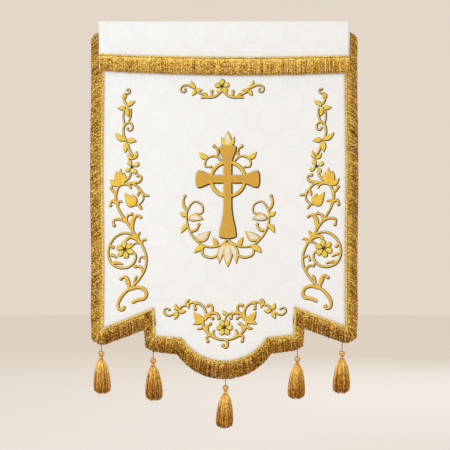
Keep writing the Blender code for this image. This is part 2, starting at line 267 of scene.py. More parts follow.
class BannerTrimSettings(bpy.types.PropertyGroup):
    """Sizes and colours of the fringe and its braid."""
    strand_radius: length_property("Strand radius", "Half the thickness of a twisted strand", 1.25 * MM)
    braid_width: length_property("Braid width", "Width of the braid over the strands' roots", 7.4 * MM)
    # The light and dark threads give the strands' own random tones and also the painted glints and painted
    # shade of their turns; the dark thread stands for painted shade between the strands.
    light: colour_property("Light thread", "Pale side of the gilt thread", "#f9d872")
    middle: colour_property("Middle thread", "Body colour of the gilt thread", "#b0741c")
    dark: colour_property("Dark thread", "Colour between the strands", "#5e360a")
    braid: colour_property("Braid", "Pale gold of the plaited braid", "#e8cb68")
    glint: colour_property("Glint", "Brightest turns of the braid", "#ffea98")


class BannerTasselSettings(bpy.types.PropertyGroup):
    """Sizes and colours of the tassels."""
    threads: bpy.props.IntProperty(name="Threads", description="Threads in the outer layer of a skirt",
                                   min=20, default=150)
    thread_radius: length_property("Thread radius", "Half the thickness of a skirt thread", 0.62 * MM)
    light: colour_property("Light thread", "Bright side of the viscose threads", "#ffd873")
    middle: colour_property("Middle thread", "Body colour of the viscose threads", "#c67d1a")
    dark: colour_property("Dark thread", "Shaded side of the viscose threads", "#703c08")
    bead: colour_property("Bead", "Satin gold of the bead", "#dcb062")
    cord: colour_property("Cord", "Gold of the hanging cord", "#a47c34")


class BannerEmbroiderySettings(bpy.types.PropertyGroup):
    """Sizes and colours of the embroidery."""
    stem_width: length_property("Stem width", "Width of a satin-stitched stem", 4.7 * MM, 1 * MM)
    outline_width: length_property("Outline width", "How far the outline shows round a shape", 1.35 * MM)
    # The outline is a dark outline thread, shifted to the lower right as a painted shadow.
    outline_shadow_shift: length_property("Outline shift", "How far the outline lies to the lower right", 1.5 * MM)
    outline: colour_property("Outline", "Dark brown outline thread", "#32220c")
    stem: colour_property("Stem", "Tan gold of the stems", "#f6cc50")
    leaf: colour_property("Leaf", "Yellow of the leaves", "#ffd62a")
    scroll: colour_property("Scroll", "Orange yellow of the scrolls and hooks", "#ffc424")
    petal: colour_property("Petal", "Pale yellow of the petals", "#ffe048")
    heart: colour_property("Heart", "Near black of the flowers' hearts", "#2a1e10")
    cream: colour_property("Cream", "Cream filling of the large leaves", "#fbf3e2")
    satin: colour_property("Satin", "Old gold of the cross", "#e2ac3a")
    # The rim colour is a painted highlight along the rims of the stitched shapes.
    rim: colour_property("Rim", "Pale yellow thread along the rims", "#ffee9c")


class BannerStageSettings(bpy.types.PropertyGroup):
    """The floor, the light and the camera."""
    floor: colour_property("Floor", "Colour of the plain floor", "#f8f6f2")
    air: colour_property("Surround", "Colour of the plain surround", "#e3d7ca")
    floor_z: length_property("Floor height", "Height of the floor under the top fold", -1.3, -10.0)
    distance: length_property("Camera distance", "Distance from the camera to the banner", 3.9, 0.5)
    lens: bpy.props.FloatProperty(name="Lens", description="Focal length in millimetres", unit="CAMERA",
                                  min=20, default=120)


# Making meshes

def new_object(name, mesh, materials, node=None):
    """Put a finished mesh in the scene as a piece of the banner, which may stand for a CAD node."""
    for material in materials:
        mesh.materials.append(material)
    piece = bpy.data.objects.new(name, mesh)
    bpy.context.scene.collection.objects.link(piece)
    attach(piece, BODY)
    if node:
        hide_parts(node)
    return piece


def put_in_order(items, key):
    """Sort a bmesh's vertices or faces, because the operators leave them in another order each run."""
    ranks = {item: rank for rank, item in enumerate(sorted(items, key=key))}
    items.sort(key=ranks.get)
    items.index_update()


def finish_mesh(name, mesh, smooth=True):
    """Turn a bmesh into mesh data."""
    put_in_order(mesh.verts, lambda vert: tuple(vert.co))
    put_in_order(mesh.faces, lambda face: [vert.index for vert in face.verts])
    data = bpy.data.meshes.new(name)
    mesh.to_mesh(data)
    mesh.free()
    if smooth:
        data.shade_smooth()
    return data


def set_attribute(data, name, values, kind="FLOAT"):
    """Give each vertex its value of a named attribute."""
    made = data.attributes.new(name, kind, "POINT")
    field = "vector" if kind == "FLOAT_VECTOR" else "value"
    made.data.foreach_set(field, np.asarray(values, np.float32).ravel())


def get_points(data):
    """A mesh's vertices as an array."""
    return np.array([vert.co for vert in data.vertices])


def set_points(data, points):
    """Move a mesh's vertices."""
    data.vertices.foreach_set("co", np.asarray(points, np.float32).ravel())
    data.update()


def new_verts(result):
    """The vertices that a bmesh operator made."""
    return [item for item in result["geom"] if isinstance(item, bmesh.types.BMVert)]


PHASE_SPREAD = 9 * math.tau
Strand = namedtuple("Strand", "across depth ring rings faces")


def straight_strand(sides, rings):
    """One straight strand of radius 1, as arrays that join_strands copies and bends."""
    mesh = bmesh.new()
    bmesh.ops.create_cone(mesh, cap_ends=True, segments=sides, radius1=1, radius2=1, depth=rings - 1)
    upright = [edge for edge in mesh.edges if abs(edge.verts[0].co.z - edge.verts[1].co.z) > 0.5]
    bmesh.ops.subdivide_edges(mesh, edges=upright, cuts=rings - 2)
    mesh.verts.index_update()
    places = np.array([vert.co for vert in mesh.verts])
    ring = np.rint(places[:, 2] + (rings - 1) / 2).astype(int)
    faces = [np.array([vert.index for vert in face.verts]) for face in mesh.faces]
    mesh.free()
    return Strand(places[:, 0], places[:, 1], ring, rings, faces)


def unit(vectors):
    """Vectors of length 1 in the same directions."""
    return vectors / np.linalg.norm(vectors, axis=-1, keepdims=True)


def join_strands(name, strand, centres, radii, shades, turns=0.0, oval=1.0, facing=(0.0, 1.0, 0.0)):
    """Copy a strand along many lines of places. turns twists its oval section, from ring to ring."""
    ahead = unit(np.gradient(centres, axis=1))
    side = unit(np.cross(ahead, facing))
    front = np.cross(ahead, side)
    ring = strand.ring
    count = len(centres)
    turn = turns * ring + np.linspace(0, PHASE_SPREAD, count)[:, None]
    depth = strand.depth * oval
    across = (strand.across * np.cos(turn) - depth * np.sin(turn))[..., None]
    out = (strand.across * np.sin(turn) + depth * np.cos(turn))[..., None]
    points = centres[:, ring] + radii[:, ring, None] * (across * side[:, ring] + out * front[:, ring])
    offsets = np.arange(count) * len(ring)
    faces = [row for face in strand.faces for row in (face + offsets[:, None]).tolist()]
    mesh = bpy.data.meshes.new(name)
    mesh.from_pydata(points.reshape(-1, 3), [], faces)
    set_attribute(mesh, "shade", np.repeat(shades, len(ring)))
    set_attribute(mesh, "fall", np.tile(ring / (strand.rings - 1), count))
    mesh.shade_smooth()
    return mesh


def cut_grid(mesh, low, high, spacing, axis):
    """Cut a flat sheet into strips along X or Z."""
    normal = [0.0, 0.0, 0.0]
    normal[axis] = 1.0
    count = max(1, round((high - low) / spacing))
    for step in range(1, count):
        place = [0.0, 0.0, 0.0]
        place[axis] = low + (high - low) * step / count
        cut_sheet(mesh, place, normal)


def cut_sheet(mesh, place, normal):
    """Split a flat sheet along one line."""
    everything = mesh.verts[:] + mesh.edges[:] + mesh.faces[:]
    bmesh.ops.bisect_plane(mesh, geom=everything, dist=1e-6, plane_co=place, plane_no=normal)


def move_all(mesh, rule):
    """Move every vertex of a bmesh by a rule that works on arrays of points."""
    moved = rule(np.array([vert.co for vert in mesh.verts]))
    for vert, place in zip(mesh.verts, moved):
        vert.co = place


def line_at(line, shares):
    """Points at shares of the way along a line of points."""
    steps = np.linalg.norm(np.diff(line, axis=0), axis=1)
    reach = np.concatenate(([0.0], np.cumsum(steps)))
    wanted = np.asarray(shares) * reach[-1]
    return np.stack([np.interp(wanted, reach, line[:, axis]) for axis in range(line.shape[1])], -1)


def line_length(line):
    """Length of a line of points."""
    return float(np.linalg.norm(np.diff(line, axis=0), axis=1).sum())


# Materials

Motif = namedtuple("Motif", "at lobes swing width")
MOTIFS = (
    Motif(at=1.0, lobes=12, swing=0.04, width=0.11),
    Motif(at=0.72, lobes=12, swing=0.05, width=0.07),
    Motif(at=0.36, lobes=4, swing=0.16, width=0.12),
)
MEDALLION_PLACES = ((0.25, 0.12, 0.0), (0.75, 0.62, 0.0))
SCROLL_SIZE = 40 * MM
SCROLL_LINES = 11.0
WEAVE_PITCH = 1.1 * MM
GILT_TURN = 3 * MM
BEAD_WINDINGS = 64.0
STITCH_PITCH = 0.9 * MM


def set_inputs(node, inputs):
    """Set or link a node's inputs. Where the value is a node, its first output is linked."""
    for name, value in inputs.items():
        source = value.outputs[0] if isinstance(value, bpy.types.Node) else value
        if isinstance(source, bpy.types.NodeSocket):
            node.id_data.links.new(source, node.inputs[name])
        else:
            node.inputs[name].default_value = source


def add_node(tree, kind, inputs=None, **settings):
    """Add a shader node with its settings and its inputs."""
    node = tree.nodes.new(f"ShaderNode{kind}")
    for name, value in settings.items():
        setattr(node, name, value)
    set_inputs(node, inputs or {})
    return node


def new_material(name, **values):
    """A material with its Principled shader, whose plain values are set here."""
    material = bpy.data.materials.new(name)
    material.use_nodes = True
    shader = material.node_tree.nodes["Principled BSDF"]
    set_inputs(shader, {socket.replace("_", " "): value for socket, value in values.items()})
    return material, material.node_tree, shader


def ramp_stops(node, stops):
    """Set a colour ramp's stops, each a place and a colour."""
    elements = node.color_ramp.elements
    while len(elements) < len(stops):
        elements.new(1.0)
    for element, (place, colour) in zip(elements, stops):
        element.position = place
        element.color = opaque(colour)


def toned(colour, factor):
    """A colour made darker or lighter."""
    return tuple(min(1.0, factor * part) for part in colour)


def wave_of(tree, value, turns, operation="SINE"):
    """Even lines: a wave over a value, with so many radians to each unit."""
    turn = add_node(tree, "Math", {0: value, 1: turns}, operation="MULTIPLY")
    return add_node(tree, "Math", {0: turn}, operation=operation)


def angle_of(tree, place):
    """Angle of a place about the third axis."""
    parts = add_node(tree, "SeparateXYZ", {0: place}).outputs
    return add_node(tree, "Math", {0: parts["X"], 1: parts["Y"]}, operation="ARCTAN2")


def gap_between(tree, value, other):
    """How far two values lie apart."""
    gap = add_node(tree, "Math", {0: value, 1: other}, operation="SUBTRACT")
    return add_node(tree, "Math", {0: gap}, operation="ABSOLUTE")


def damask_material(settings):
    """Cotton damask, jacquard woven: satin figure on a matt ground, seen as a faint change of white."""
    material, tree, shader = new_material("cotton_damask_woven", Sheen_Weight=0.12, Sheen_Roughness=0.5)
    sheet = add_node(tree, "UVMap", uv_map="cloth")
    size = (settings.repeat_across, settings.repeat_down, 1.0)
    figure = scroll_mask(tree, sheet)
    for shift in MEDALLION_PLACES:
        scaled = add_node(tree, "VectorMath", {0: sheet, 1: size}, operation="DIVIDE")
        moved = add_node(tree, "VectorMath", {0: scaled, 1: shift}, operation="ADD")
        wrapped = add_node(tree, "VectorMath", {0: moved, 1: (0.5, 0.5, 0.5), 2: (-0.5, -0.5, -0.5)},
                           operation="WRAP")
        place = add_node(tree, "VectorMath", {0: wrapped, 1: size}, operation="MULTIPLY")
        mask = medallion_mask(tree, place, settings.medallion)
        figure = add_node(tree, "Math", {0: figure, 1: mask}, operation="MAXIMUM", use_clamp=True)
    colour = add_node(tree, "Mix", {"Factor": figure, 6: opaque(settings.colour), 7: opaque(settings.figure)},
                      data_type="RGBA")
    rough = add_node(tree, "MapRange", {"Value": figure, "To Min": 0.68, "To Max": 0.56})
    set_inputs(shader, {"Base Color": colour.outputs[2], "Roughness": rough,
                        "Normal": weave_bump(tree, sheet, figure)})
    return material


def medallion_mask(tree, place, radius):
    """Woven ring with lobed rosettes inside, from places measured from its centre."""
    length = add_node(tree, "VectorMath", {0: place}, operation="LENGTH").outputs["Value"]
    angle = angle_of(tree, place)
    mask = 0.0
    for motif in MOTIFS:
        wave = wave_of(tree, angle, motif.lobes, "COSINE")
        edge = add_node(tree, "Math", {0: wave, 1: motif.swing * radius, 2: motif.at * radius},
                        operation="MULTIPLY_ADD")
        off = gap_between(tree, length, edge)
        width = motif.width * radius
        band = add_node(tree, "MapRange", {"Value": off, "From Min": width * 0.5, "From Max": width * 1.2,
                                           "To Min": 1.0, "To Max": 0.0}, interpolation_type="SMOOTHSTEP")
        mask = add_node(tree, "Math", {0: mask, 1: band}, operation="MAXIMUM")
    return mask


def scroll_mask(tree, sheet):
    """Fine woven scrolls between the medallions: level lines of a soft pattern."""
    swirl = add_node(tree, "TexNoise", {"Vector": sheet, "Scale": 1 / SCROLL_SIZE, "Detail": 0.0})
    levels = add_node(tree, "Math", {0: swirl, 1: SCROLL_LINES}, operation="MULTIPLY")
    saw = add_node(tree, "Math", {0: levels}, operation="FRACT")
    return add_node(tree, "MapRange", {"Value": gap_between(tree, saw, 0.5), "From Min": 0.1,
                                       "From Max": 0.2, "To Min": 0.5, "To Max": 0.0})


def weave_bump(tree, sheet, figure):
    """Threads drawn coarser than the real 0.4 mm so that they show, and soft unevenness."""
    parts = add_node(tree, "SeparateXYZ", {0: sheet}).outputs
    waves = [wave_of(tree, parts[axis], math.tau / WEAVE_PITCH) for axis in ("X", "Y")]
    woven = add_node(tree, "Math", {0: waves[0], 1: waves[1]}, operation="MULTIPLY")
    threads = add_node(tree, "Bump", {"Height": woven, "Strength": 0.25, "Distance": 0.12 * MM})
    raised_figure = add_node(tree, "Bump", {"Height": figure, "Strength": 0.2, "Distance": 0.2 * MM,
                                            "Normal": threads})
    uneven = add_node(tree, "TexNoise", {"Vector": sheet, "Scale": 16.0, "Detail": 3.0})
    return add_node(tree, "Bump", {"Height": uneven, "Strength": 0.35, "Distance": 1.2 * MM,
                                   "Normal": raised_figure})


def gilt_material(name, stops, metallic, roughness, glint, root_highlight):
    """Metallised thread, spun and twisted: it glitters with a painted glint or painted shade on each turn, as
    if each turn caught the light on its own, over each strand's own tone.

    The turns are 3 mm long here, coarser than the real 1 mm, so that the painted glitter shows.
    """
    material, tree, shader = new_material(name, Metallic=metallic, Roughness=roughness)
    own = add_node(tree, "Attribute", attribute_name="shade").outputs["Fac"]
    fall = add_node(tree, "Attribute", attribute_name="fall").outputs["Fac"]
    # Lighter near the roots: a painted highlight where the strands turn out from the tape.
    near_root = add_node(tree, "MapRange", {"Value": fall, "From Max": 0.4, "To Min": root_highlight,
                                            "To Max": 0.0})
    place = add_node(tree, "TexCoord").outputs["Object"]
    turns = add_node(tree, "TexNoise", {"Vector": place, "Scale": 1 / GILT_TURN, "Detail": 1.0})
    # Painted glints and painted shade of the turns.
    mixed = add_node(tree, "Math", {0: turns, 1: glint, 2: -glint / 2}, operation="MULTIPLY_ADD")
    lit = add_node(tree, "Math", {0: mixed, 1: near_root}, operation="ADD")
    tone = add_node(tree, "Math", {0: own, 1: lit}, operation="ADD", use_clamp=True)
    ramp = add_node(tree, "ValToRGB", {"Fac": tone})
    ramp_stops(ramp, stops)
    grain = add_node(tree, "TexNoise", {"Vector": place, "Scale": 900.0, "Detail": 2.0})
    bump = add_node(tree, "Bump", {"Height": grain, "Strength": 0.5, "Distance": 0.5 * MM})
    set_inputs(shader, {"Base Color": ramp, "Normal": bump})
    return material


def silk_material(name, settings):
    """Viscose thread, dyed and spun: soft lustre with bright and shaded threads side by side, a painted
    highlight near the top and painted shade towards the foot.
    """
    material, tree, shader = new_material(name, Metallic=0.65, Roughness=0.34)
    own = add_node(tree, "Attribute", attribute_name="shade").outputs["Fac"]
    fall = add_node(tree, "Attribute", attribute_name="fall").outputs["Fac"]
    place = add_node(tree, "TexCoord").outputs["Object"]
    patch = add_node(tree, "TexNoise", {"Vector": place, "Scale": 200.0, "Detail": 2.0})
    # Painted highlight near the top of each thread and painted shade towards its foot.
    top_light_foot_shade = add_node(tree, "MapRange", {"Value": fall, "To Min": 0.3, "To Max": -0.34})
    mixed = add_node(tree, "Math", {0: patch, 1: 1.5, 2: top_light_foot_shade}, operation="MULTIPLY_ADD")
    tone = add_node(tree, "Math", {0: own, 1: mixed}, operation="ADD")
    shifted = add_node(tree, "Math", {0: tone, 1: 0.62}, operation="SUBTRACT", use_clamp=True)
    ramp = add_node(tree, "ValToRGB", {"Fac": shifted})
    ramp_stops(ramp, ((0.0, settings.dark), (0.5, settings.middle), (1.0, settings.light)))
    set_inputs(shader, {"Base Color": ramp})
    return material


def bead_material(colour):
    """Turned wood wound with satin thread: a soft highlight and fine lines from pole to pole."""
    material, tree, shader = new_material("satin_wound_bead", Metallic=0.92, Roughness=0.26,
                                          Coat_Weight=1.0, Coat_Roughness=0.1)
    local = add_node(tree, "Attribute", attribute_name="local").outputs["Vector"]
    wave = wave_of(tree, angle_of(tree, local), BEAD_WINDINGS)
    bump = add_node(tree, "Bump", {"Height": wave, "Strength": 0.35, "Distance": 0.15 * MM})
    # The windings are darker in their grooves: painted shade.
    tone = add_node(tree, "MapRange", {"Value": wave, "From Min": -1.0, "From Max": 0.2})
    mix = add_node(tree, "Mix", {"Factor": tone, 6: opaque(toned(colour, 0.72)), 7: opaque(colour)},
                   data_type="RGBA")
    set_inputs(shader, {"Base Color": mix.outputs[2], "Normal": bump})
    return material


def stitch_material(name, colour, rim, share):
    """Rayon embroidery thread, satin stitched: lustrous lines side by side, drawn at 0.9 mm to show.

    A pale painted highlight along the rims takes its share of the colour.
    """
    material, tree, shader = new_material(name, Roughness=0.4, Sheen_Weight=0.06, Specular_IOR_Level=0.5)
    thread = add_node(tree, "Attribute", attribute_name="thread").outputs["Fac"]
    wave = wave_of(tree, thread, math.tau / STITCH_PITCH)
    bump = add_node(tree, "Bump", {"Height": wave, "Strength": 0.6, "Distance": 0.25 * MM})
    place = add_node(tree, "TexCoord").outputs["Object"]
    patch = add_node(tree, "TexNoise", {"Vector": place, "Scale": 120.0, "Detail": 3.0})
    # Darker in the grooves between the stitches, painted shade, and in random patches of the thread's own
    # tone.
    lines = add_node(tree, "Math", {0: wave, 1: 0.16, 2: patch}, operation="MULTIPLY_ADD")
    tone = add_node(tree, "MapRange", {"Value": lines, "From Min": 0.25, "From Max": 0.8})
    mix = add_node(tree, "Mix", {"Factor": tone, 6: opaque(toned(colour, 0.84)), 7: opaque(colour)},
                   data_type="RGBA")
    # Painted highlight along the rims.
    across = add_node(tree, "Attribute", attribute_name="rim").outputs["Fac"]
    near_rim = add_node(tree, "MapRange", {"Value": across, "From Min": 0.3, "To Max": share})
    edged = add_node(tree, "Mix", {"Factor": near_rim, 6: mix.outputs[2], 7: opaque(rim)}, data_type="RGBA")
    set_inputs(shader, {"Base Color": edged.outputs[2], "Normal": bump})
    return material


def plain_material(name, colour, roughness):
    """Painted board: even, matt and pale, with the slightest cloudiness."""
    material, tree, shader = new_material(name, Roughness=roughness)
    place = add_node(tree, "TexCoord").outputs["Object"]
    cloud = add_node(tree, "TexNoise", {"Vector": place, "Scale": 2.0, "Detail": 2.0})
    mix = add_node(tree, "Mix", {"Factor": cloud, 6: opaque(toned(colour, 0.985)), 7: opaque(colour)},
                   data_type="RGBA")
    set_inputs(shader, {"Base Color": mix.outputs[2]})
    return material


# Cloth

def make_cloth(settings):
    """The damask cloth: cut flat, folded over the top and hung."""
    mesh = bmesh.new()
    outline = cloth_outline()
    mesh.faces.new([mesh.verts.new((point.x, 0, point.y)) for point in outline])
    fold_start = -FOLD_RADIUS
    fold_end = fold_start + FOLD_ARC
    cut_grid(mesh, -HEIGHT - CLOTH_EDGE, fold_start, settings.spacing, 2)
    cut_grid(mesh, fold_start, fold_end, FOLD_ARC / FOLD_STEPS, 2)
    cut_grid(mesh, fold_end, HEM_RUN, settings.spacing, 2)
    for run in (fold_start, fold_end):
        cut_sheet(mesh, (0, 0, run), (0, 0, 1))
    cut_grid(mesh, -CLOTH_HALF, CLOTH_HALF, settings.spacing, 0)
    flat_area = sum(face.calc_area() for face in mesh.faces)
    layer = mesh.loops.layers.uv.new("cloth")
    for face in mesh.faces:
        for loop in face.loops:
            loop[layer].uv = (loop.vert.co.x, loop.vert.co.z)
    move_all(mesh, lambda points: hang(folded(points[:, (0, 2)])))
    cloth = new_object("damask_cloth", finish_mesh("damask_cloth", mesh), [damask_material(settings)])
    thick = cloth.modifiers.new("thickness", "SOLIDIFY")
    thick.thickness = CLOTH_THICK
    thick.offset = 0
    thick.use_even_offset = True
    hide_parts("banner_cloth")
    lowest = min(point.y for point in outline)
    return cloth, (2 * CLOTH_HALF, HEM_RUN - lowest), flat_area


# Trims

BRAID_PITCH = 11.0 * MM
BRAID_CORD = 1.15 * MM
BRAID_STEP = 1.3 * MM
BRAID_LIFT = 1.2 * MM
TAPE_THICK = 0.6 * MM
TAPE_TOP = 0.6 * MM
TAPE_FOOT = 1.4 * MM
TAPE_STEP = 8 * MM
TAPE_SHADE = 0.35
STRAND_RINGS = 12
STRAND_TWIST = 1.25
STRAND_OVAL = 0.62
STRAND_SWAY = 0.7 * MM
STRAND_CRIMP = 0.35 * MM
STRAND_RAGGED = 0.6 * MM
LAYERS = (2.4 * MM, 1.1 * MM, -0.2 * MM)
STRAND_TONE_SPREAD = 0.13
FLAP_COVER = 24.0 * MM
FLAP_CLEAR = 1.4 * MM
FLAP_MARGIN = 2 * MM
FLAP_BRAID = FLAP_HEADING * 0.5
BRAID_REST = 1.05
BRAID_CROSSING = 0.8
STRAND_TAPER = 0.45
STRAND_OUT = 0.4
LAYER_DROP = 0.3
EDGE_PROBE = 0.004
FAN_ROOTS = 2 * MM
CORNER_LIFT = 5 * MM


def heading(kind):
    """Width of a trim's heading."""
    return FLAP_HEADING if kind == "flap" else HEADING


def trim_line(kind, side, distance):
    """A trim's edge, a distance outside its heading's inner edge."""
    if kind == "flap":
        z = FLAP_HEM_Z - HEM_COVER + FLAP_HEADING - distance
        return np.array([(-CLOTH_HALF, z), (CLOTH_HALF, z)])
    if kind == "scallop":
        return np.array([tuple(point) for point in scallop_points(distance, SCALLOP_STEPS)])
    index = EDGE_ORDER.index(kind)
    return np.array([(side * point.x, point.y) for point in edge_corners(distance)[index:index + 2]])


def under_flap(points):
    """Press the top of a side trim against the panel, where the flap hangs over it."""
    x, y, z = np.moveaxis(points, -1, 0)
    covered = (np.abs(x) < CLOTH_HALF + FLAP_MARGIN) & (z > FLAP_HEM_Z - FLAP_COVER)
    rest = flap_y(z) + CLOTH_THICK / 2 + FLAP_CLEAR
    return np.stack((x, np.where(covered, np.maximum(y, rest), y), z), -1)


def trim_places(points, kind):
    """Hang points of a trim with the cloth that it is sewn to."""
    if kind == "flap":
        return hang(flap_point(points))
    return hang(under_flap(points) if kind == "side" else points)


def trim_front(kind):
    """Depth of the front of a trim's tape."""
    return (FLAP_FRONT if kind == "flap" else PANEL_FRONT) - SEW_GAP - TAPE_THICK


def raised(flat, y):
    """Points (x, z) and their depths as points in space."""
    return np.stack((flat[..., 0], np.broadcast_to(y, flat.shape[:-1]), flat[..., 1]), -1)


def make_braid(name, kind, side, width, material):
    """Three cords plaited over a tape, which hides the strands' roots."""
    middle = trim_line(kind, side, width / 2)
    length = line_length(middle)
    rings = round(length / BRAID_STEP)
    shares = np.linspace(TRIM_END / length, 1 - TRIM_END / length, rings)
    inner = line_at(trim_line(kind, side, 0), shares)
    outer = line_at(trim_line(kind, side, width), shares)
    front = trim_front(kind) - BRAID_LIFT
    swing = (width / 2 - BRAID_CORD) / width
    centres = []
    for cord in range(3):
        turn = math.tau * (shares * round(length / BRAID_PITCH) + cord / 3)
        across = (0.5 + swing * np.sin(turn))[:, None]
        flat = inner + (outer - inner) * across
        crossing = BRAID_REST + BRAID_CROSSING * np.sin(2 * turn)
        centres.append(raised(flat, front - BRAID_CORD * crossing))
    centres = trim_places(np.array(centres), kind)
    radii = np.full((3, rings), BRAID_CORD)
    mesh = join_strands(name, straight_strand(6, rings), centres, radii, np.array((0.5, 0.62, 0.4)))
    return new_object(name, mesh, [material])


def strand_lines(root, away, lead, reach, drop, lift, front, dice):
    """Centre lines of strands that leave the edge, turn down and hang, each with its own crimp."""
    steps = np.linspace(0, 1, STRAND_RINGS)
    across = np.stack((away[:, 1], -away[:, 0]), -1)
    out = lead * (1 - (1 - steps) ** 3) + reach[:, None] * steps * (1 + STRAND_OUT - STRAND_OUT * steps)
    sway = dice.normal(0, STRAND_SWAY, (len(root), 1)) * steps ** 2
    flat = root[:, None] + away[:, None] * out[..., None] + across[:, None] * sway[..., None]
    flat[..., 1] -= drop[:, None] * steps * (0.6 + 0.4 * steps)
    crimp = dice.normal(0, STRAND_CRIMP, (*flat.shape[:2], 3)) * smooth_ramp(steps / 0.2)[:, None]
    return raised(flat, front - lift * smooth_ramp(steps / 0.35)) + crimp


def edge_strands(kind, side, start, lead, lift, dice):
    """The strands along a trim's edge."""
    trim = TRIMS[kind]
    outer = trim_line(kind, side, start + lead)
    total = line_length(outer)
    count = round(total / trim.pitch)
    places = np.clip((np.arange(count) + dice.uniform(0, 1, count)) * trim.pitch, TRIM_END, total - TRIM_END)
    shares = places / total
    root = line_at(trim_line(kind, side, start), shares)
    ahead = (line_at(outer, np.minimum(shares + EDGE_PROBE, 1))
             - line_at(outer, np.maximum(shares - EDGE_PROBE, 0)))
    away = unit(np.stack((-ahead[:, 1], ahead[:, 0]), -1))
    away *= np.sign(np.sum(away * (line_at(outer, shares) - root), axis=1))[:, None]
    near_start = 1 - smooth_ramp(places / CORNER_FADE)
    near_end = 1 - smooth_ramp((total - places) / CORNER_FADE)
    scale = 1 - near_start * (1 - trim.start_scale) - near_end * (1 - trim.end_scale)
    drop = trim.drop * (1 + scale) / 2 + dice.normal(0, STRAND_RAGGED, count)
    reach = trim.reach * scale + dice.normal(0, STRAND_RAGGED / 2, count)
    return strand_lines(root, away, lead, reach, drop - lift * LAYER_DROP, lift, trim_front(kind), dice)


def fan_strands(kind, side, start, lead, lift, dice):
    """The strands that spread round the corner between a trim and the next one."""
    trim = TRIMS[kind]
    following = EDGE_ORDER[EDGE_ORDER.index(kind) + 1]
    after = TRIMS[following]
    corner = trim_line(following, side, start)[0]
    turns = ((np.arange(trim.fan) + dice.uniform(0, 1, trim.fan)) / trim.fan)[:, None]
    normals = []
    for name in (kind, following):
        inner, outer = trim_line(name, side, 0), trim_line(name, side, start)
        normal = np.array((inner[0, 1] - inner[1, 1], inner[1, 0] - inner[0, 0]))
        normals.append(unit(normal * np.sign(normal @ (outer.mean(0) - inner.mean(0)))))
    away = unit(normals[0] * (1 - turns) + normals[1] * turns)
    root = np.broadcast_to(corner, away.shape) - away * dice.uniform(0, FAN_ROOTS, (trim.fan, 1))
    turns = turns[:, 0]
    reach = trim.reach * trim.end_scale * (1 - turns) + after.reach * after.start_scale * turns
    first_drop = trim.drop * (1 + trim.end_scale) / 2
    last_drop = after.drop * (1 + after.start_scale) / 2
    drop = first_drop * (1 - turns) + last_drop * turns
    drop = drop - CORNER_LIFT * np.sin(math.pi * turns) + dice.normal(0, STRAND_RAGGED, trim.fan)
    return strand_lines(root, away, lead, reach, drop, lift, trim_front(kind), dice)


def fringe_path(kind, side, width, seed):
    """Centre lines of all strands of a trim, in layers, and the shade of each strand."""
    trim = TRIMS[kind]
    start = width * 0.5
    lead = heading(kind) - start
    dice = np.random.default_rng(seed)
    paths = []
    for lift in LAYERS:
        paths.append(edge_strands(kind, side, start, lead, lift, dice))
        if trim.fan:
            paths.append(fan_strands(kind, side, start, lead, lift, dice))
    centres = trim_places(np.concatenate(paths), kind)
    return centres, np.clip(dice.normal(trim.tone, STRAND_TONE_SPREAD, len(centres)), 0, 1)


def make_tape(name, kind, side, material):
    """The woven tape that the strands are sewn to, behind the braid."""
    lines = [trim_line(kind, side, distance) for distance in (TAPE_TOP, heading(kind) - TAPE_FOOT)]
    length = line_length(lines[0])
    mesh = bmesh.new()
    bmesh.ops.create_grid(mesh, x_segments=round(length / TAPE_STEP), y_segments=1, size=0.5)
    for vert in mesh.verts:
        share = TRIM_END / length + (vert.co.x + 0.5) * (1 - 2 * TRIM_END / length)
        x, z = line_at(lines[int(vert.co.y > 0)], share)
        vert.co = (x, trim_front(kind), z)
    back = new_verts(bmesh.ops.extrude_face_region(mesh, geom=mesh.faces[:], use_keep_orig=True))
    bmesh.ops.translate(mesh, verts=back, vec=(0, TAPE_THICK, 0))
    move_all(mesh, lambda points: trim_places(points, kind))
    bmesh.ops.recalc_face_normals(mesh, faces=mesh.faces[:])
    data = finish_mesh(name, mesh, smooth=False)
    set_attribute(data, "shade", np.full(len(data.vertices), TAPE_SHADE))
    return new_object(name, data, [material])


def make_trim(kind, hand, settings, stuffs, seed):
    """One trim: strands, tape and braid."""
    side = HANDS.get(hand, 1)
    ending = f"_{hand}" if hand else ""
    label = kind + ending
    width = FLAP_BRAID if kind == "flap" else settings.braid_width
    centres, shades = fringe_path(kind, side, width, seed)
    steps = np.linspace(0, 1, STRAND_RINGS)
    radii = np.broadcast_to(settings.strand_radius * (1 - STRAND_TAPER * steps ** 8), centres.shape[:2])
    mesh = join_strands(f"{label}_strands", straight_strand(4, STRAND_RINGS), centres, radii, shades,
                        turns=STRAND_TWIST, oval=STRAND_OVAL)
    strand_stuff, braid_stuff = stuffs
    new_object(f"{label}_strands", mesh, [strand_stuff], f"{kind}_fringe{ending}")
    make_tape(f"{label}_tape", kind, side, strand_stuff)
    make_braid(f"{label}_braid", kind, side, width, braid_stuff)


def make_trims(settings):
    """Trims along the flap's hem and round the panel."""
    gilt = ((0.1, settings.dark), (0.45, settings.middle), (0.85, settings.light))
    pale = ((0.0, settings.middle), (0.45, settings.braid), (1.0, settings.glint))
    stuffs = (
        gilt_material("gilt_bullion_twisted", gilt, metallic=0.8, roughness=0.36, glint=1.65, root_highlight=0.25),
        gilt_material("gilt_braid_plaited", pale, metallic=0.5, roughness=0.4, glint=2.6, root_highlight=0.0),
    )
    make_trim("flap", "", settings, stuffs, 1)
    for hand, side in HANDS.items():
        for index, kind in enumerate(EDGE_ORDER):
            make_trim(kind, hand, settings, stuffs, 10 + index + 5 * side)
    make_trim("scallop", "", settings, stuffs, 30)


# Tassels

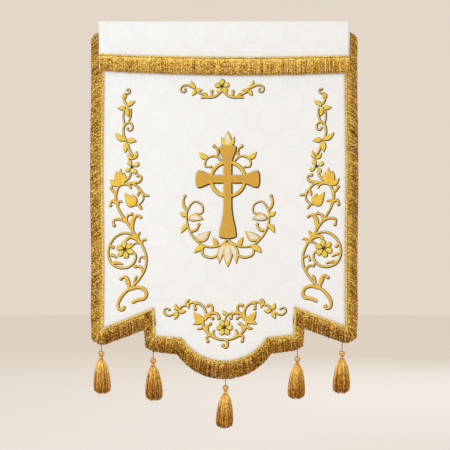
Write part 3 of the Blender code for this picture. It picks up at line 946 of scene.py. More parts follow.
LEANS = {"left_corner": 3.0 * MM, "left_step": 3.0 * MM, "centre": -3.5 * MM,
         "right_step": -3.2 * MM, "right_corner": -2.9 * MM}
ROPE_PITCH = 4.2 * MM
ROPE_STRAND = 0.74 * MM
ROPE_STEP = 0.55 * MM
ROPE_TUCK = 1.2 * MM
ROPE_SPREAD = ROPE_STRAND * 0.78
BEAD_DIMPLE = 0.86
BEAD_STEPS = 32
BEAD_SIDES = 48
NECK_TURNS = 5
NECK_CORD = 0.6 * MM
NECK_STEPS = 20
NECK_TOP = 0.2 * MM
NECK_LENGTH = 4.6 * MM
NECK_RADIUS = 4.1 * MM
NECK_FLARE = 0.22
THREAD_RINGS = 12
THREAD_RAGGED = 1.1 * MM
THREAD_WAVE = 38 * MM
THREAD_LOOSE = 30 * MM
SKIRT_LOCKS = 14
LOCK_DEPTH = 0.02
THREAD_SWING = (0.01, 0.06)
THREAD_BULGE = 0.012
THREAD_ENDS = np.array((0.2, 0.45, 0.75, 1.0))
CORE_SHARE = 0.82
CORE_SIDES = 40
CORE_TOP = ((0.0, -0.3 * MM), (3.6 * MM, -0.3 * MM), (4.2 * MM, -1.2 * MM))
CORE_FOOT = ((12 * MM, -88 * MM), (0.0, -87 * MM))
# The core's dark tone: painted shade between the threads.
CORE_PAINTED_SHADE = {"shade": 0.1, "fall": 0.7}
Layer = namedtuple("Layer", "share width length")
SKIRT_LAYERS = (
    Layer(share=1, width=1.0, length=0.925),
    Layer(share=2 / 3, width=0.87, length=0.965),
    Layer(share=1 / 3, width=0.6, length=1.0),
)
SKIRT_FALL = np.array((2.5, 5.0, 9.0, 15.0, 26.0, 42.0, 58.0, 70.0, 82.0, 90.0, 94.5)) * MM
SKIRT_RADIUS = np.array((4.4, 5.4, 8.6, 12.7, 16.0, 19.2, 21.3, 22.2, 21.9, 20.0, 16.8)) * MM


def around(centre, radius, angle, z):
    """Points round an upright axis."""
    return np.stack((centre.x + radius * np.cos(angle), centre.y + radius * np.sin(angle), z), -1)


def spun(name, profile, steps):
    """A profile of (radius, height) turned about the upright axis."""
    mesh = bmesh.new()
    verts = [mesh.verts.new((radius, 0, height)) for radius, height in profile]
    edges = [mesh.edges.new(pair) for pair in zip(verts, verts[1:])]
    bmesh.ops.spin(mesh, geom=verts + edges, cent=(0, 0, 0), axis=(0, 0, 1), angle=math.tau,
                   steps=steps, use_merge=True)
    bmesh.ops.remove_doubles(mesh, verts=mesh.verts[:], dist=0.002 * MM)
    bmesh.ops.recalc_face_normals(mesh, faces=mesh.faces[:])
    return finish_mesh(name, mesh)


def make_rope(name, top, low, centre, material, node):
    """A cord of two strands twisted together."""
    rings = round((top - low) / ROPE_STEP)
    z = np.linspace(top, low, rings)
    turn = math.tau * z / ROPE_PITCH
    centres = np.array([around(centre, ROPE_SPREAD, turn + phase, z) for phase in (0, math.pi)])
    radii = np.full((2, rings), ROPE_STRAND)
    mesh = join_strands(name, straight_strand(6, rings), centres, radii, np.array((0.45, 0.6)))
    return new_object(name, mesh, [material], node)


def make_bead(name, centre, radius, material, node):
    """A turned bead with a dimple at each end of its bore."""
    angles = [math.pi * step / BEAD_STEPS for step in range(2, BEAD_STEPS - 1)]
    profile = [(radius * math.sin(angle), radius * math.cos(angle)) for angle in angles]
    profile = [(0.0, radius * BEAD_DIMPLE), *profile, (0.0, -radius * BEAD_DIMPLE)]
    data = spun(name, profile, BEAD_SIDES)
    local = get_points(data)
    set_attribute(data, "local", local, "FLOAT_VECTOR")
    set_points(data, local + np.array(centre))
    return new_object(name, data, [material], node)


def leaned(points, top, lean):
    """Swing points of a skirt to one side, most of all at its foot."""
    share = (top.z - points[..., 2]) / SKIRT_FALL[-1]
    return points + share[..., None] * np.array((lean, 0.0, 0.0))


def skirt_layer(layer, top, settings, dice):
    """Centre lines and shades of one layer's threads."""
    count = round(settings.threads * layer.share)
    fall = np.linspace(SKIRT_FALL[0], SKIRT_FALL[-1] * layer.length, THREAD_RINGS) + np.zeros((count, 1))
    fall[:, -4:] += dice.normal(0, THREAD_RAGGED, (count, 1)) * THREAD_ENDS
    start = math.tau * (np.arange(count) + dice.uniform(0, 0.9, count)) / count
    lock = LOCK_DEPTH * np.sin(start * SKIRT_LOCKS + dice.uniform(0, 6))[:, None]
    swing = dice.uniform(*THREAD_SWING, count)[:, None]
    phase = dice.uniform(0, math.tau, count)[:, None]
    wave = swing * np.sin(math.tau * (fall / THREAD_WAVE) + phase)
    loose = smooth_ramp(fall / THREAD_LOOSE)
    angle = start[:, None] + loose * (wave + lock * fall / SKIRT_FALL[-1])
    bulge = LOCK_DEPTH * np.cos(start * SKIRT_LOCKS)[:, None] + dice.normal(0, THREAD_BULGE, (count, 1))
    radius = np.interp(fall, SKIRT_FALL, SKIRT_RADIUS) * layer.width * (1 + loose * bulge)
    shades = np.clip(0.54 + 0.16 * np.sin(start * 9 + 1) + dice.normal(0, 0.24, count), 0, 1)
    return around(top, radius - settings.thread_radius, angle, top.z - fall), shades


def make_skirt(name, top, lean, settings, material, dice, node):
    """A skirt of threads in layers, the inner ones longer, which rounds its foot."""
    layers = [skirt_layer(layer, top, settings, dice) for layer in SKIRT_LAYERS]
    centres = leaned(np.concatenate([paths for paths, shades in layers]), top, lean)
    shades = np.concatenate([shades for paths, shades in layers])
    steps = np.linspace(0, 1, THREAD_RINGS)
    taper = 0.75 + 0.5 * steps - 0.35 * steps ** 9
    radii = np.broadcast_to(settings.thread_radius * taper, centres.shape[:2])
    mesh = join_strands(name, straight_strand(4, THREAD_RINGS), centres, radii, shades,
                        facing=(0.13, 0.99, 0.02))
    return new_object(name, mesh, [material], node)


def make_neck(name, top, material):
    """Cord wound round the neck, under the bead."""
    rings = NECK_STEPS * NECK_TURNS
    angle = np.linspace(0, math.tau * NECK_TURNS, rings)
    fall = NECK_TOP + NECK_LENGTH * angle / angle[-1]
    centres = around(top, NECK_RADIUS + NECK_FLARE * fall, angle, top.z - fall)
    radii = np.full((1, rings), NECK_CORD)
    mesh = join_strands(name, straight_strand(6, rings), centres[None], radii, np.array((0.75,)),
                        facing=(0.0, 0.0, 1.0))
    return new_object(name, mesh, [material])


def make_core(name, top, lean, material):
    """The heart of the head and skirt, which closes the gaps between the threads; its dark tone is painted
    shade in those gaps.
    """
    body = [(CORE_SHARE * radius, -fall) for radius, fall in zip(SKIRT_RADIUS[1:-2], SKIRT_FALL[1:-2])]
    data = spun(name, [*CORE_TOP, *body, *CORE_FOOT], CORE_SIDES)
    set_points(data, leaned(get_points(data) + np.array(top), top, lean))
    for label, value in CORE_PAINTED_SHADE.items():
        set_attribute(data, label, np.full(len(data.vertices), value))
    return new_object(name, data, [material])


def make_tassels(settings):
    """Five tassels, each placed by its CAD nodes."""
    silk = silk_material("viscose_thread_spun", settings)
    bead_stuff = bead_material(settings.bead)
    stops = ((0.0, toned(settings.cord, 0.45)), (0.5, settings.cord), (1.0, toned(settings.cord, 1.5)))
    cord_stuff = gilt_material("viscose_cord_twisted", stops, metallic=0.25, roughness=0.42, glint=1.0,
                               root_highlight=0.0)
    for index, (place, lean) in enumerate(LEANS.items()):
        name = f"tassel_{place}"
        cord, bead, skirt = (f"{name}_{part}" for part in ("cord", "bead", "skirt"))
        low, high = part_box(bead)
        centre = (low + high) / 2
        cord_low, cord_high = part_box(cord)
        make_rope(f"{name}_rope", cord_high.z, cord_low.z - ROPE_TUCK, centre, cord_stuff, cord)
        make_bead(f"{name}_round", centre, (high.z - low.z) / 2, bead_stuff, bead)
        top = Vector((centre.x, centre.y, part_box(skirt)[1].z))
        dice = np.random.default_rng(100 + index)
        make_skirt(f"{name}_threads", top, lean, settings, silk, dice, skirt)
        make_neck(f"{name}_neck", top, silk)
        make_core(f"{name}_core", top, lean, silk)


# Embroidery

SKETCH_UNIT = 2.6 * MM
SKETCH_MIDDLE = 224.2
SKETCH_TOP = 21.6
# Each paint, with its share of the rim colour, a painted highlight along the rims.
PAINTS = {"outline": 0.0, "stem": 0.45, "leaf": 0.4, "scroll": 0.55, "petal": 0.3, "heart": 0.0,
          "cream": 0.0, "satin": 0.0}
PAINT_ORDER = tuple(PAINTS)
SAMPLES_PER_METRE = 500
STROKE_STEP = 2.8 * MM
STROKE_ENDS = np.array((0.0, 0.12, 0.4, 0.75))
STROKE_MIDDLE = 0.45
OUTLINE_LIFT = 0.4 * MM
FILL_LIFT = 0.7 * MM
CREAM_LIFT = 0.7 * MM
HEART_LIFT = 1.3 * MM
LEAF_HEIGHT = 1.8 * MM
BLADE_ROWS = 11
VEIN_WIDTH = 0.16
VEIN_DEPTH = 0.3
PETAL_NOTCH = 0.22
PETAL_START = 0.12
HEART_SHARE = 0.2
CREAM_START = 0.1
CREAM_END = 0.14
CREAM_WIDTH = 0.62
# Direction of the outlines' painted shadow: to the lower right.
OUTLINE_SHADOW_SIDE = np.array((0.7, -0.7))
Blade = namedtuple("Blade", "base tip width bend kind")
Stem = namedtuple("Stem", "kind points")
Leaf = namedtuple("Leaf", "kind base tip width bend")
Flower = namedtuple("Flower", "centre radius width petals turn")
Stroke = namedtuple("Stroke", "paint width start end crown knob")
STROKES = {
    "stem": Stroke(paint="stem", width=1.0, start=1.0, end=1.0, crown=0.5, knob=0),
    "thin": Stroke(paint="stem", width=0.72, start=1.0, end=0.9, crown=0.5, knob=0),
    "curl": Stroke(paint="stem", width=0.82, start=1.0, end=0.75, crown=0.5, knob=1.35),
    "hook": Stroke(paint="scroll", width=1.15, start=1.0, end=0.65, crown=0.5, knob=1.4),
    "spur": Stroke(paint="scroll", width=1.2, start=1.2, end=0.6, crown=0.5, knob=0),
    "bold": Stroke(paint="scroll", width=2.2, start=0.5, end=0.4, crown=0.42, knob=0.7),
    "ribbon": Stroke(paint="scroll", width=1.6, start=0.8, end=0.9, crown=0.45, knob=0),
    "crook": Stroke(paint="scroll", width=1.45, start=0.8, end=0.75, crown=0.45, knob=1.25),
}


def on_cloth(points, middle=0.0, side=1):
    """Points of the sketch, in its own units, as places (x, z) on the cloth."""
    points = np.asarray(points, float)
    x = side * (points[..., 0] - SKETCH_MIDDLE - middle) + middle
    return np.stack((x * SKETCH_UNIT, (SKETCH_TOP - points[..., 1]) * SKETCH_UNIT), -1)


def smooth_line(points):
    """A smooth curve through points, with even steps."""
    points = np.asarray(points, float)
    if len(points) == 2:
        points = line_at(points, (0, 0.5, 1))
    steps = np.linalg.norm(np.diff(points, axis=0), axis=1)
    reach = np.concatenate(([0.0], np.cumsum(steps)))
    slopes = np.gradient(points, reach, axis=0, edge_order=2)
    samples = np.linspace(0, reach[-1], max(6, int(reach[-1] * SAMPLES_PER_METRE)))
    index = np.clip(np.searchsorted(reach, samples, side="right") - 1, 0, len(steps) - 1)
    gap = steps[index][:, None]
    t = (samples - reach[index])[:, None] / gap
    start, end = points[index], points[index + 1]
    rise, land = slopes[index] * gap, slopes[index + 1] * gap
    return ((2 * t ** 3 - 3 * t ** 2 + 1) * start + (t ** 3 - 2 * t ** 2 + t) * rise
            + (3 * t ** 2 - 2 * t ** 3) * end + (t ** 3 - t ** 2) * land)


def close_back(mesh, faces):
    """Close raised faces with a flat back on the cloth."""
    for vert in new_verts(bmesh.ops.extrude_face_region(mesh, geom=faces, use_keep_orig=True)):
        vert.co.y = PANEL_FRONT


def lay_patch(mesh, spots, threads, across, paint):
    """A grid laid out on the given spots, with a flat back on the cloth."""
    rows = spots.shape[0] - 1
    columns = spots.shape[1] - 1
    thread = mesh.verts.layers.float["thread"]
    rim = mesh.verts.layers.float["rim"]
    verts = bmesh.ops.create_grid(mesh, x_segments=rows, y_segments=columns, size=0.5)["verts"]
    for vert in verts:
        row = round((vert.co.x + 0.5) * rows)
        column = round((vert.co.y + 0.5) * columns)
        vert.co = spots[row, column]
        vert[thread] = threads[row, column]
        vert[rim] = abs(across[column])
    faces = list(dict.fromkeys(face for vert in verts for face in vert.link_faces))
    for face in faces:
        face.material_index = PAINT_ORDER.index(paint)
    close_back(mesh, faces)


def lay_stroke(mesh, line, half, paint, lift, crown, columns):
    """A raised band of stitches along a line, with round ends."""
    length = line_length(line)
    round_end = half.mean()
    places = np.linspace(0, length, 8)
    if length > 3 * round_end:
        ends = STROKE_ENDS * round_end
        count = max(4, int(length / STROKE_STEP))
        between = np.linspace(round_end * 1.2, length - round_end * 1.2, count)
        places = np.concatenate((ends, between, length - ends[::-1]))
    shares = places / length
    middle = line_at(line, shares)
    wide = np.interp(shares, np.linspace(0, 1, len(half)), half)
    inside = np.minimum(places, length - places)
    wide = wide * np.sqrt(np.clip(1 - np.clip(1 - inside / wide, 0, 1) ** 2, 0.003, 1))
    ahead = unit(np.gradient(middle, axis=0))
    normal = np.stack((-ahead[:, 1], ahead[:, 0]), -1)
    across = np.linspace(-1, 1, columns + 1)
    flat = middle[:, None] + normal[:, None] * (wide[:, None] * across)[..., None]
    y = PANEL_FRONT - lift - crown * wide[:, None] * np.sqrt(1 - across ** 2)
    threads = np.broadcast_to(places[:, None], y.shape) + 0.35 * wide[:, None] * across
    lay_patch(mesh, raised(flat, y), threads, across, paint)


def blade_half(kind, shares):
    """Half width of a leaf or petal along its length, for a width of 1."""
    if kind == "petal":
        return 0.5 * np.sin(math.pi * 0.93 * shares ** 1.3) ** 0.9
    return 0.5 * np.sin(math.pi * shares ** 0.8) ** 0.85


def lay_blade(mesh, blade, paint, lift, margin=0.0, columns=6, crown=0.42):
    """A crowned leaf or petal from base to tip, bent to one side."""
    axis = blade.tip - blade.base
    length = np.linalg.norm(axis)
    ahead = axis / length
    normal = np.array((-ahead[1], ahead[0]))
    shares = np.linspace(0, 1, BLADE_ROWS)
    half = blade_half(blade.kind, np.clip(shares, 0.004, 0.996)) * (blade.width + 2 * margin)
    along = -margin + shares * (length + 2 * margin)
    bow = (blade.bend * length * np.sin(math.pi * shares))[:, None]
    middle = blade.base + ahead * along[:, None] + normal * bow
    across = np.linspace(-1, 1, columns + 1)
    flat = middle[:, None] + normal * (half[:, None] * across)[..., None]
    vein = 0.0
    if blade.kind == "petal":
        notch = PETAL_NOTCH * length * shares[:, None] ** 5 * (1 - np.abs(across)) ** 1.5
        flat = flat - ahead * notch[..., None]
    else:
        vein = np.exp(-(across / VEIN_WIDTH) ** 2) * VEIN_DEPTH
    height = LEAF_HEIGHT * np.tanh(crown * half / LEAF_HEIGHT)
    y = PANEL_FRONT - lift - height[:, None] * (np.sqrt(1 - across ** 2) - vein)
    threads = along[:, None] * 0.8 + 0.6 * np.abs(across) * half[:, None]
    lay_patch(mesh, raised(flat, y), threads, across, paint)


def lay_knot(mesh, centre, radius, paint, lift, crown):
    """A round knot of stitches."""
    line = np.array((centre - (radius, 0), centre + (radius, 0)))
    lay_stroke(mesh, line, np.full(3, radius), paint, lift, crown, 4)


def sew_stem(mesh, stem, place, settings):
    """A stem with its outline under it: a dark outline thread, lying to the lower right as a painted shadow.
    """
    stroke = STROKES[stem.kind]
    line = smooth_line(place(stem.points))
    shares = np.linspace(0, 1, 24)
    full = settings.stem_width / 2 * stroke.width
    near_start = 1 - smooth_ramp(shares / STROKE_MIDDLE)
    near_end = smooth_ramp((shares - STROKE_MIDDLE) / (1 - STROKE_MIDDLE))
    half = full * (1 + (stroke.start - 1) * near_start + (stroke.end - 1) * near_end)
    shift = settings.outline_shadow_shift * OUTLINE_SHADOW_SIDE
    lay_stroke(mesh, line + shift, half + settings.outline_width, "outline", OUTLINE_LIFT, 0.0, 1)
    lay_stroke(mesh, line, half, stroke.paint, FILL_LIFT, stroke.crown, 4)
    if stroke.knob:
        radius = full * stroke.knob
        lay_knot(mesh, line[-1] + shift, radius + settings.outline_width, "outline", OUTLINE_LIFT, 0.0)
        lay_knot(mesh, line[-1], radius, stroke.paint, FILL_LIFT, 0.6)


def sew_blade(mesh, blade, paint, settings):
    """A leaf or petal over its outline, which lies to the lower right as a painted shadow. A cream one keeps
    a golden rim.
    """
    shift = settings.outline_shadow_shift * OUTLINE_SHADOW_SIDE
    outline = blade._replace(base=blade.base + shift, tip=blade.tip + shift)
    lay_blade(mesh, outline, "outline", OUTLINE_LIFT, settings.outline_width, 2, crown=0.0)
    if paint != "cream":
        lay_blade(mesh, blade, paint, FILL_LIFT)
        return
    lay_blade(mesh, blade, "scroll", FILL_LIFT, crown=0.1)
    axis = blade.tip - blade.base
    inside = blade._replace(base=blade.base + axis * CREAM_START, tip=blade.tip - axis * CREAM_END,
                            width=blade.width * CREAM_WIDTH)
    lay_blade(mesh, inside, "cream", FILL_LIFT + CREAM_LIFT, crown=0.3)


def sew_flower(mesh, flower, place, settings):
    """Petals round a dark heart."""
    centre = place(flower.centre)
    radius = flower.radius * SKETCH_UNIT
    for index in range(flower.petals):
        angle = math.radians(flower.turn) + math.tau * index / flower.petals
        swing = np.array((math.cos(angle), math.sin(angle)))
        petal = Blade(base=centre + swing * radius * PETAL_START, tip=centre + swing * radius,
                      width=flower.width * SKETCH_UNIT, bend=0.0, kind="petal")
        sew_blade(mesh, petal, "leaf" if index % 2 else "petal", settings)
    lay_knot(mesh, centre, radius * HEART_SHARE, "heart", FILL_LIFT + HEART_LIFT, 0.55)


def new_needlework():
    """An empty mesh for stitches, whose threads are counted in metres and whose rims are 1."""
    mesh = bmesh.new()
    for layer in ("thread", "rim"):
        mesh.verts.layers.float.new(layer)
    return mesh


def finish_needlework(name, mesh, stuffs):
    """Hang a panel's stitches with the cloth and put them in the scene."""
    bmesh.ops.recalc_face_normals(mesh, faces=mesh.faces[:])
    move_all(mesh, hang)
    return new_object(name, finish_mesh(name, mesh), stuffs)


def thread_materials(settings):
    """One satin-stitch material for each thread colour."""
    return [stitch_material(f"rayon_thread_{paint}", getattr(settings, paint), settings.rim, share)
            for paint, share in PAINTS.items()]


def sew_design(name, tables, place, settings, stuffs, side=1):
    """Sew one design from its tables of stems, leaves and flowers."""
    stems, leaves, flowers = tables
    mesh = new_needlework()
    for stem in stems:
        sew_stem(mesh, stem, place, settings)
    for leaf in leaves:
        base, tip = place((leaf.base, leaf.tip))
        blade = Blade(base, tip, leaf.width * SKETCH_UNIT, leaf.bend * side, "leaf")
        sew_blade(mesh, blade, leaf.kind, settings)
    for flower in flowers:
        sew_flower(mesh, flower, place, settings)
    return finish_needlework(name, mesh, stuffs)


# Designs, drawn in the sketch's units from its upper left corner

VINE_STEMS = (
    Stem("curl", ((123.2, 98.6), (122.2, 95.4), (123.8, 93.2), (127.2, 93.0), (129.3, 90.9), (128.2, 88.7),
                  (126.6, 89.0))),
    Stem("stem", ((123.2, 98.2), (123.9, 100.6), (126.6, 104.6))),
    Stem("thin", ((124.0, 108.5), (122.8, 114.5), (124.5, 124.2))),
    Stem("thin", ((129.8, 107.5), (130.0, 115.5), (128.0, 120.8), (124.5, 124.4))),
    Stem("curl", ((125.0, 124.2), (128.4, 122.0), (132.0, 124.9), (131.2, 129.2), (128.3, 129.8),
                  (127.2, 127.8))),
    Stem("stem", ((124.4, 123.6), (122.8, 129.8), (123.2, 134.0), (126.2, 140.2))),
    Stem("stem", ((127.5, 143.0), (129.3, 149.5), (133.2, 155.5))),
    Stem("stem", ((130.9, 171.0), (129.4, 175.8), (125.0, 180.5))),
    Stem("hook", ((126.3, 182.6), (134.0, 182.2), (140.1, 180.3), (141.3, 176.5), (137.6, 175.0))),
    Stem("hook", ((117.0, 192.5), (113.4, 190.6), (111.0, 187.2))),
    Stem("stem", ((116.0, 200.0), (116.4, 191.0), (119.5, 184.9), (124.8, 183.4), (129.4, 184.9),
                  (130.9, 188.7))),
    Stem("stem", ((127.9, 182.6), (134.8, 184.1), (140.1, 189.5), (144.0, 194.1), (149.3, 194.9))),
    Stem("spur", ((140.5, 189.6), (138.2, 192.6), (137.8, 196.0))),
    Stem("thin", ((141.7, 193.3), (143.2, 197.0), (140.9, 201.8), (137.0, 204.2), (133.5, 204.0))),
    Stem("spur", ((137.8, 204.2), (140.0, 206.4), (141.3, 209.5))),
    Stem("stem", ((115.2, 190.0), (115.6, 200.0), (118.7, 209.1), (124.8, 219.1), (130.9, 228.3),
                  (135.5, 235.2), (141.7, 245.1), (145.5, 255.9), (144.7, 266.6), (138.6, 278.1),
                  (130.9, 286.5), (126.6, 290.4))),
    Stem("crook", ((129.8, 287.3), (123.6, 292.4), (118.8, 298.9), (117.3, 304.9), (119.4, 308.8),
                   (122.6, 308.8), (123.2, 306.8))),
    Stem("hook", ((115.8, 203.0), (111.6, 200.2), (110.3, 204.5))),
    Stem("spur", ((117.6, 205.8), (118.7, 200.7), (122.5, 201.5))),
    Stem("hook", ((126.2, 222.0), (118.7, 218.3), (113.0, 219.8), (113.6, 224.6))),
    Stem("hook", ((126.9, 222.5), (126.7, 215.8), (131.2, 213.4))),
    Stem("bold", ((132.8, 231.5), (131.6, 224.5), (132.9, 218.6), (136.6, 214.9), (140.3, 216.6))),
    Stem("spur", ((137.5, 239.5), (137.6, 234.0), (140.1, 231.3))),
    Stem("spur", ((141.0, 244.5), (142.6, 239.2), (146.3, 239.8))),
    Stem("stem", ((135.5, 235.9), (129.4, 232.9), (121.8, 232.5), (114.1, 236.7), (108.7, 245.1),
                  (107.6, 255.1), (111.8, 263.5), (119.5, 267.0), (127.9, 266.2), (134.0, 260.4),
                  (134.8, 254.3), (131.4, 251.0))),
    Stem("ribbon", ((140.0, 243.6), (134.4, 237.6), (129.0, 236.5), (125.3, 240.2))),
    Stem("hook", ((109.4, 241.6), (109.9, 244.6), (112.0, 246.4))),
    Stem("thin", ((137.8, 242.8), (134.0, 242.8), (131.7, 245.9))),
    Stem("spur", ((109.0, 254.0), (113.0, 254.8), (116.4, 257.4))),
    Stem("spur", ((111.4, 262.4), (117.0, 262.2), (122.5, 263.9))),
    Stem("curl", ((145.2, 258.6), (140.5, 256.2), (138.6, 260.4))),
    Stem("hook", ((142.4, 271.5), (140.1, 266.6), (134.8, 265.8))),
    Stem("spur", ((133.4, 283.5), (134.0, 279.0), (136.3, 275.0))),
    Stem("bold", ((128.6, 288.0), (127.2, 281.4), (124.0, 276.0), (120.3, 278.0))),
    Stem("ribbon", ((129.6, 289.4), (136.8, 286.6), (142.9, 288.2), (145.8, 293.4), (143.4, 297.9),
                    (138.0, 298.9), (131.0, 302.4))),
)
VINE_LEAVES = (
    Leaf("leaf", (125.0, 107.0), (117.0, 107.4), 4.2, 0.05),
    Leaf("leaf", (126.8, 106.0), (134.6, 100.7), 4.2, 0.08),
    Leaf("leaf", (126.2, 107.4), (128.2, 116.0), 4.2, -0.05),
    Leaf("leaf", (125.6, 140.0), (114.8, 132.6), 4.8, 0.08),
    Leaf("leaf", (126.8, 140.2), (136.0, 140.7), 4.8, 0.06),
    Leaf("leaf", (126.0, 141.4), (125.4, 152.2), 4.8, -0.04),
    Leaf("leaf", (133.3, 158.6), (127.2, 153.2), 3.6, 0.1),
    Leaf("leaf", (133.8, 158.4), (136.4, 150.6), 3.6, -0.1),
    Leaf("scroll", (119.6, 184.6), (116.4, 171.0), 5.0, 0.1),
    Leaf("leaf", (120.6, 184.0), (124.0, 172.0), 5.0, -0.12),
    Leaf("scroll", (120.4, 184.2), (120.8, 168.0), 5.4, 0.04),
    Leaf("leaf", (119.4, 184.8), (109.8, 178.4), 4.6, 0.14),
    Leaf("leaf", (134.8, 204.6), (124.4, 192.2), 6.4, 0.05),
    Leaf("scroll", (134.6, 204.8), (125.4, 200.4), 4.6, 0.12),
    Leaf("scroll", (135.0, 204.2), (131.8, 193.6), 4.6, -0.1),
    Leaf("scroll", (123.4, 93.8), (125.2, 98.0), 3.4, 0.0),
)
VINE_FLOWERS = (
    Flower(centre=(132.2, 166.5), radius=7.8, width=4.2, petals=4, turn=30),
    Flower(centre=(124.3, 249.0), radius=9.0, width=5.2, petals=6, turn=100),
)

BOTTOM_STEMS = (
    Stem("curl", ((175.4, 312.0), (172.9, 313.7), (167.5, 315.0), (163.5, 311.4), (165.3, 307.9),
                  (168.8, 309.2))),
    Stem("stem", ((178.0, 309.8), (181.0, 306.2), (185.8, 304.5), (190.2, 302.5))),
    Stem("spur", ((185.8, 304.4), (187.0, 300.4), (189.8, 299.6))),
    Stem("stem", ((189.8, 302.5), (197.9, 302.9), (203.2, 307.0), (205.4, 313.2), (202.9, 320.4),
                  (203.8, 327.5), (208.6, 333.8), (216.0, 338.2), (224.4, 339.6))),
    Stem("hook", ((199.2, 303.4), (194.9, 303.6), (194.7, 308.6))),
    Stem("hook", ((210.4, 313.2), (212.1, 308.4), (210.4, 304.7), (207.4, 305.4))),
    Stem("crook", ((204.6, 317.0), (208.0, 314.0), (212.6, 312.8), (217.2, 314.2), (218.6, 317.8))),
    Stem("hook", ((204.6, 320.4), (208.6, 316.2), (212.3, 318.2))),
    Stem("bold", ((208.6, 333.6), (206.2, 327.9), (210.0, 323.6))),
    Stem("spur", ((215.6, 337.4), (212.4, 333.2), (214.5, 329.4))),
    Stem("hook", ((210.8, 335.4), (206.8, 336.4), (207.4, 341.0))),
    Stem("spur", ((203.4, 325.8), (200.2, 328.2), (196.6, 328.4))),
)
BOTTOM_LEAVES = (
    Leaf("leaf", (177.3, 310.0), (174.6, 303.4), 3.8, 0.08),
    Leaf("leaf", (177.8, 310.8), (185.6, 310.6), 3.8, -0.08),
    Leaf("leaf", (177.0, 311.4), (173.8, 319.0), 3.8, 0.06),
    Leaf("leaf", (186.8, 303.6), (188.2, 308.2), 2.8, 0.1),
    Leaf("scroll", (203.2, 320.6), (193.4, 312.0), 6.4, 0.1),
    Leaf("leaf", (203.2, 321.4), (194.8, 316.8), 4.8, 0.05),
    Leaf("scroll", (203.4, 322.6), (192.6, 324.4), 4.2, -0.14),
)
BOTTOM_MIDDLE_STEMS = (
    Stem("hook", ((224.4, 339.2), (227.3, 343.4), (225.5, 347.6), (222.6, 345.2))),
    Stem("thin", ((224.2, 321.0), (226.4, 315.9), (232.7, 311.9))),
)
BOTTOM_MIDDLE_LEAVES = (
    Leaf("leaf", (226.6, 314.8), (222.4, 310.4), 3.2, 0.1),
)
BOTTOM_FLOWERS = (
    Flower(centre=(224.3, 327.5), radius=8.2, width=5.0, petals=6, turn=0),
)

TOP_STEMS = (
    Stem("curl", ((194.4, 88.4), (190.6, 86.2), (185.4, 84.6), (181.0, 86.6), (180.3, 89.8), (182.8, 91.9),
                  (185.3, 90.4), (184.6, 88.6))),
    Stem("thin", ((196.0, 90.9), (200.6, 93.4), (206.2, 96.4))),
    Stem("spur", ((206.2, 96.2), (205.2, 93.8), (202.9, 92.6))),
    Stem("spur", ((208.0, 96.8), (203.6, 96.8), (200.0, 97.6))),
    Stem("stem", ((206.4, 96.6), (211.4, 96.9), (216.3, 95.2), (219.8, 92.0), (221.9, 89.6))),
    Stem("hook", ((216.0, 95.3), (211.6, 94.6), (211.4, 91.0))),
)
TOP_LEAVES = (
    Leaf("leaf", (195.2, 88.4), (190.6, 80.4), 3.6, 0.1),
    Leaf("leaf", (195.2, 88.8), (202.4, 89.6), 3.2, -0.08),
    Leaf("leaf", (195.0, 89.6), (191.6, 95.2), 3.6, 0.06),
)
TOP_FLOWERS = (
    Flower(centre=(222.0, 86.2), radius=7.6, width=4.8, petals=5, turn=92),
)
TOP_MIDDLE = 222.0 - SKETCH_MIDDLE
BOTTOM_MIDDLE = 224.6 - SKETCH_MIDDLE


def sew_borders(settings, stuffs):
    """The side vines and the sprays above and below."""
    pairs = (
        ("vine", 0.0, (VINE_STEMS, VINE_LEAVES, VINE_FLOWERS)),
        ("top_spray", TOP_MIDDLE, (TOP_STEMS, TOP_LEAVES, ())),
        ("bottom_spray", BOTTOM_MIDDLE, (BOTTOM_STEMS, BOTTOM_LEAVES, ())),
    )
    for name, middle, tables in pairs:
        for hand, side in (("left", 1), ("right", -1)):
            place = partial(on_cloth, middle=middle, side=side)
            sew_design(f"{name}_{hand}", tables, place, settings, stuffs, side)
    sew_design("top_flower", ((), (), TOP_FLOWERS), on_cloth, settings, stuffs)
    middle_tables = (BOTTOM_MIDDLE_STEMS, BOTTOM_MIDDLE_LEAVES, BOTTOM_FLOWERS)
    sew_design("bottom_flower", middle_tables, on_cloth, settings, stuffs)


# The middle design: a cross of the usual kind with leaf sprays, in millimetres from its own middle

CROSS_MIDDLE = np.array((8.8, -461.0)) * MM
CROSSING = np.array((0.0, 52.0)) * MM
ARM_HALF = 9.5 * MM
ARM_FLARE = 12.0 * MM
ARMS = ((0, 76.0 * MM), (90, 82.0 * MM), (180, 76.0 * MM), (270, 148.0 * MM))
ARM_BOW = 6 * MM
ARM_STRAIGHT = 0.45
CROSS_WIDE = 84 * MM
CROSS_LOW = 160 * MM
CROSS_HIGH = 90 * MM
CROSS_STEP = 8 * MM
CROSS_RIMS = ((1.1 * MM, 0.6), (1.6 * MM, 0.4))
CROSS_OUTLINE = 1.6
CROSS_THREAD = 0.7
RING_RADIUS = 44.0 * MM
RING_HALF = 4.2 * MM
RING_COVER = 0.9 * MM
CROSS_HEIGHT = 1.3 * MM
CROSS_SHADOW = np.array((0.9, -0.9))
CROSS_STEMS = (
    Stem("curl", ((0, -104), (26, -122), (60, -122), (90, -98), (106, -62), (104, -26), (86, -6),
                  (67, -16), (67, -35), (81, -38))),
    Stem("stem", ((6, -112), (18, -138), (44, -152), (66, -142), (66, -128))),
    Stem("hook", ((98, -82), (84, -80), (76, -66))),
    Stem("hook", ((104, -30), (116, -12), (112, 8))),
    Stem("curl", ((16, 96), (34, 112), (56, 104), (58, 86), (44, 84))),
    Stem("hook", ((30, 108), (26, 126), (36, 138))),
)
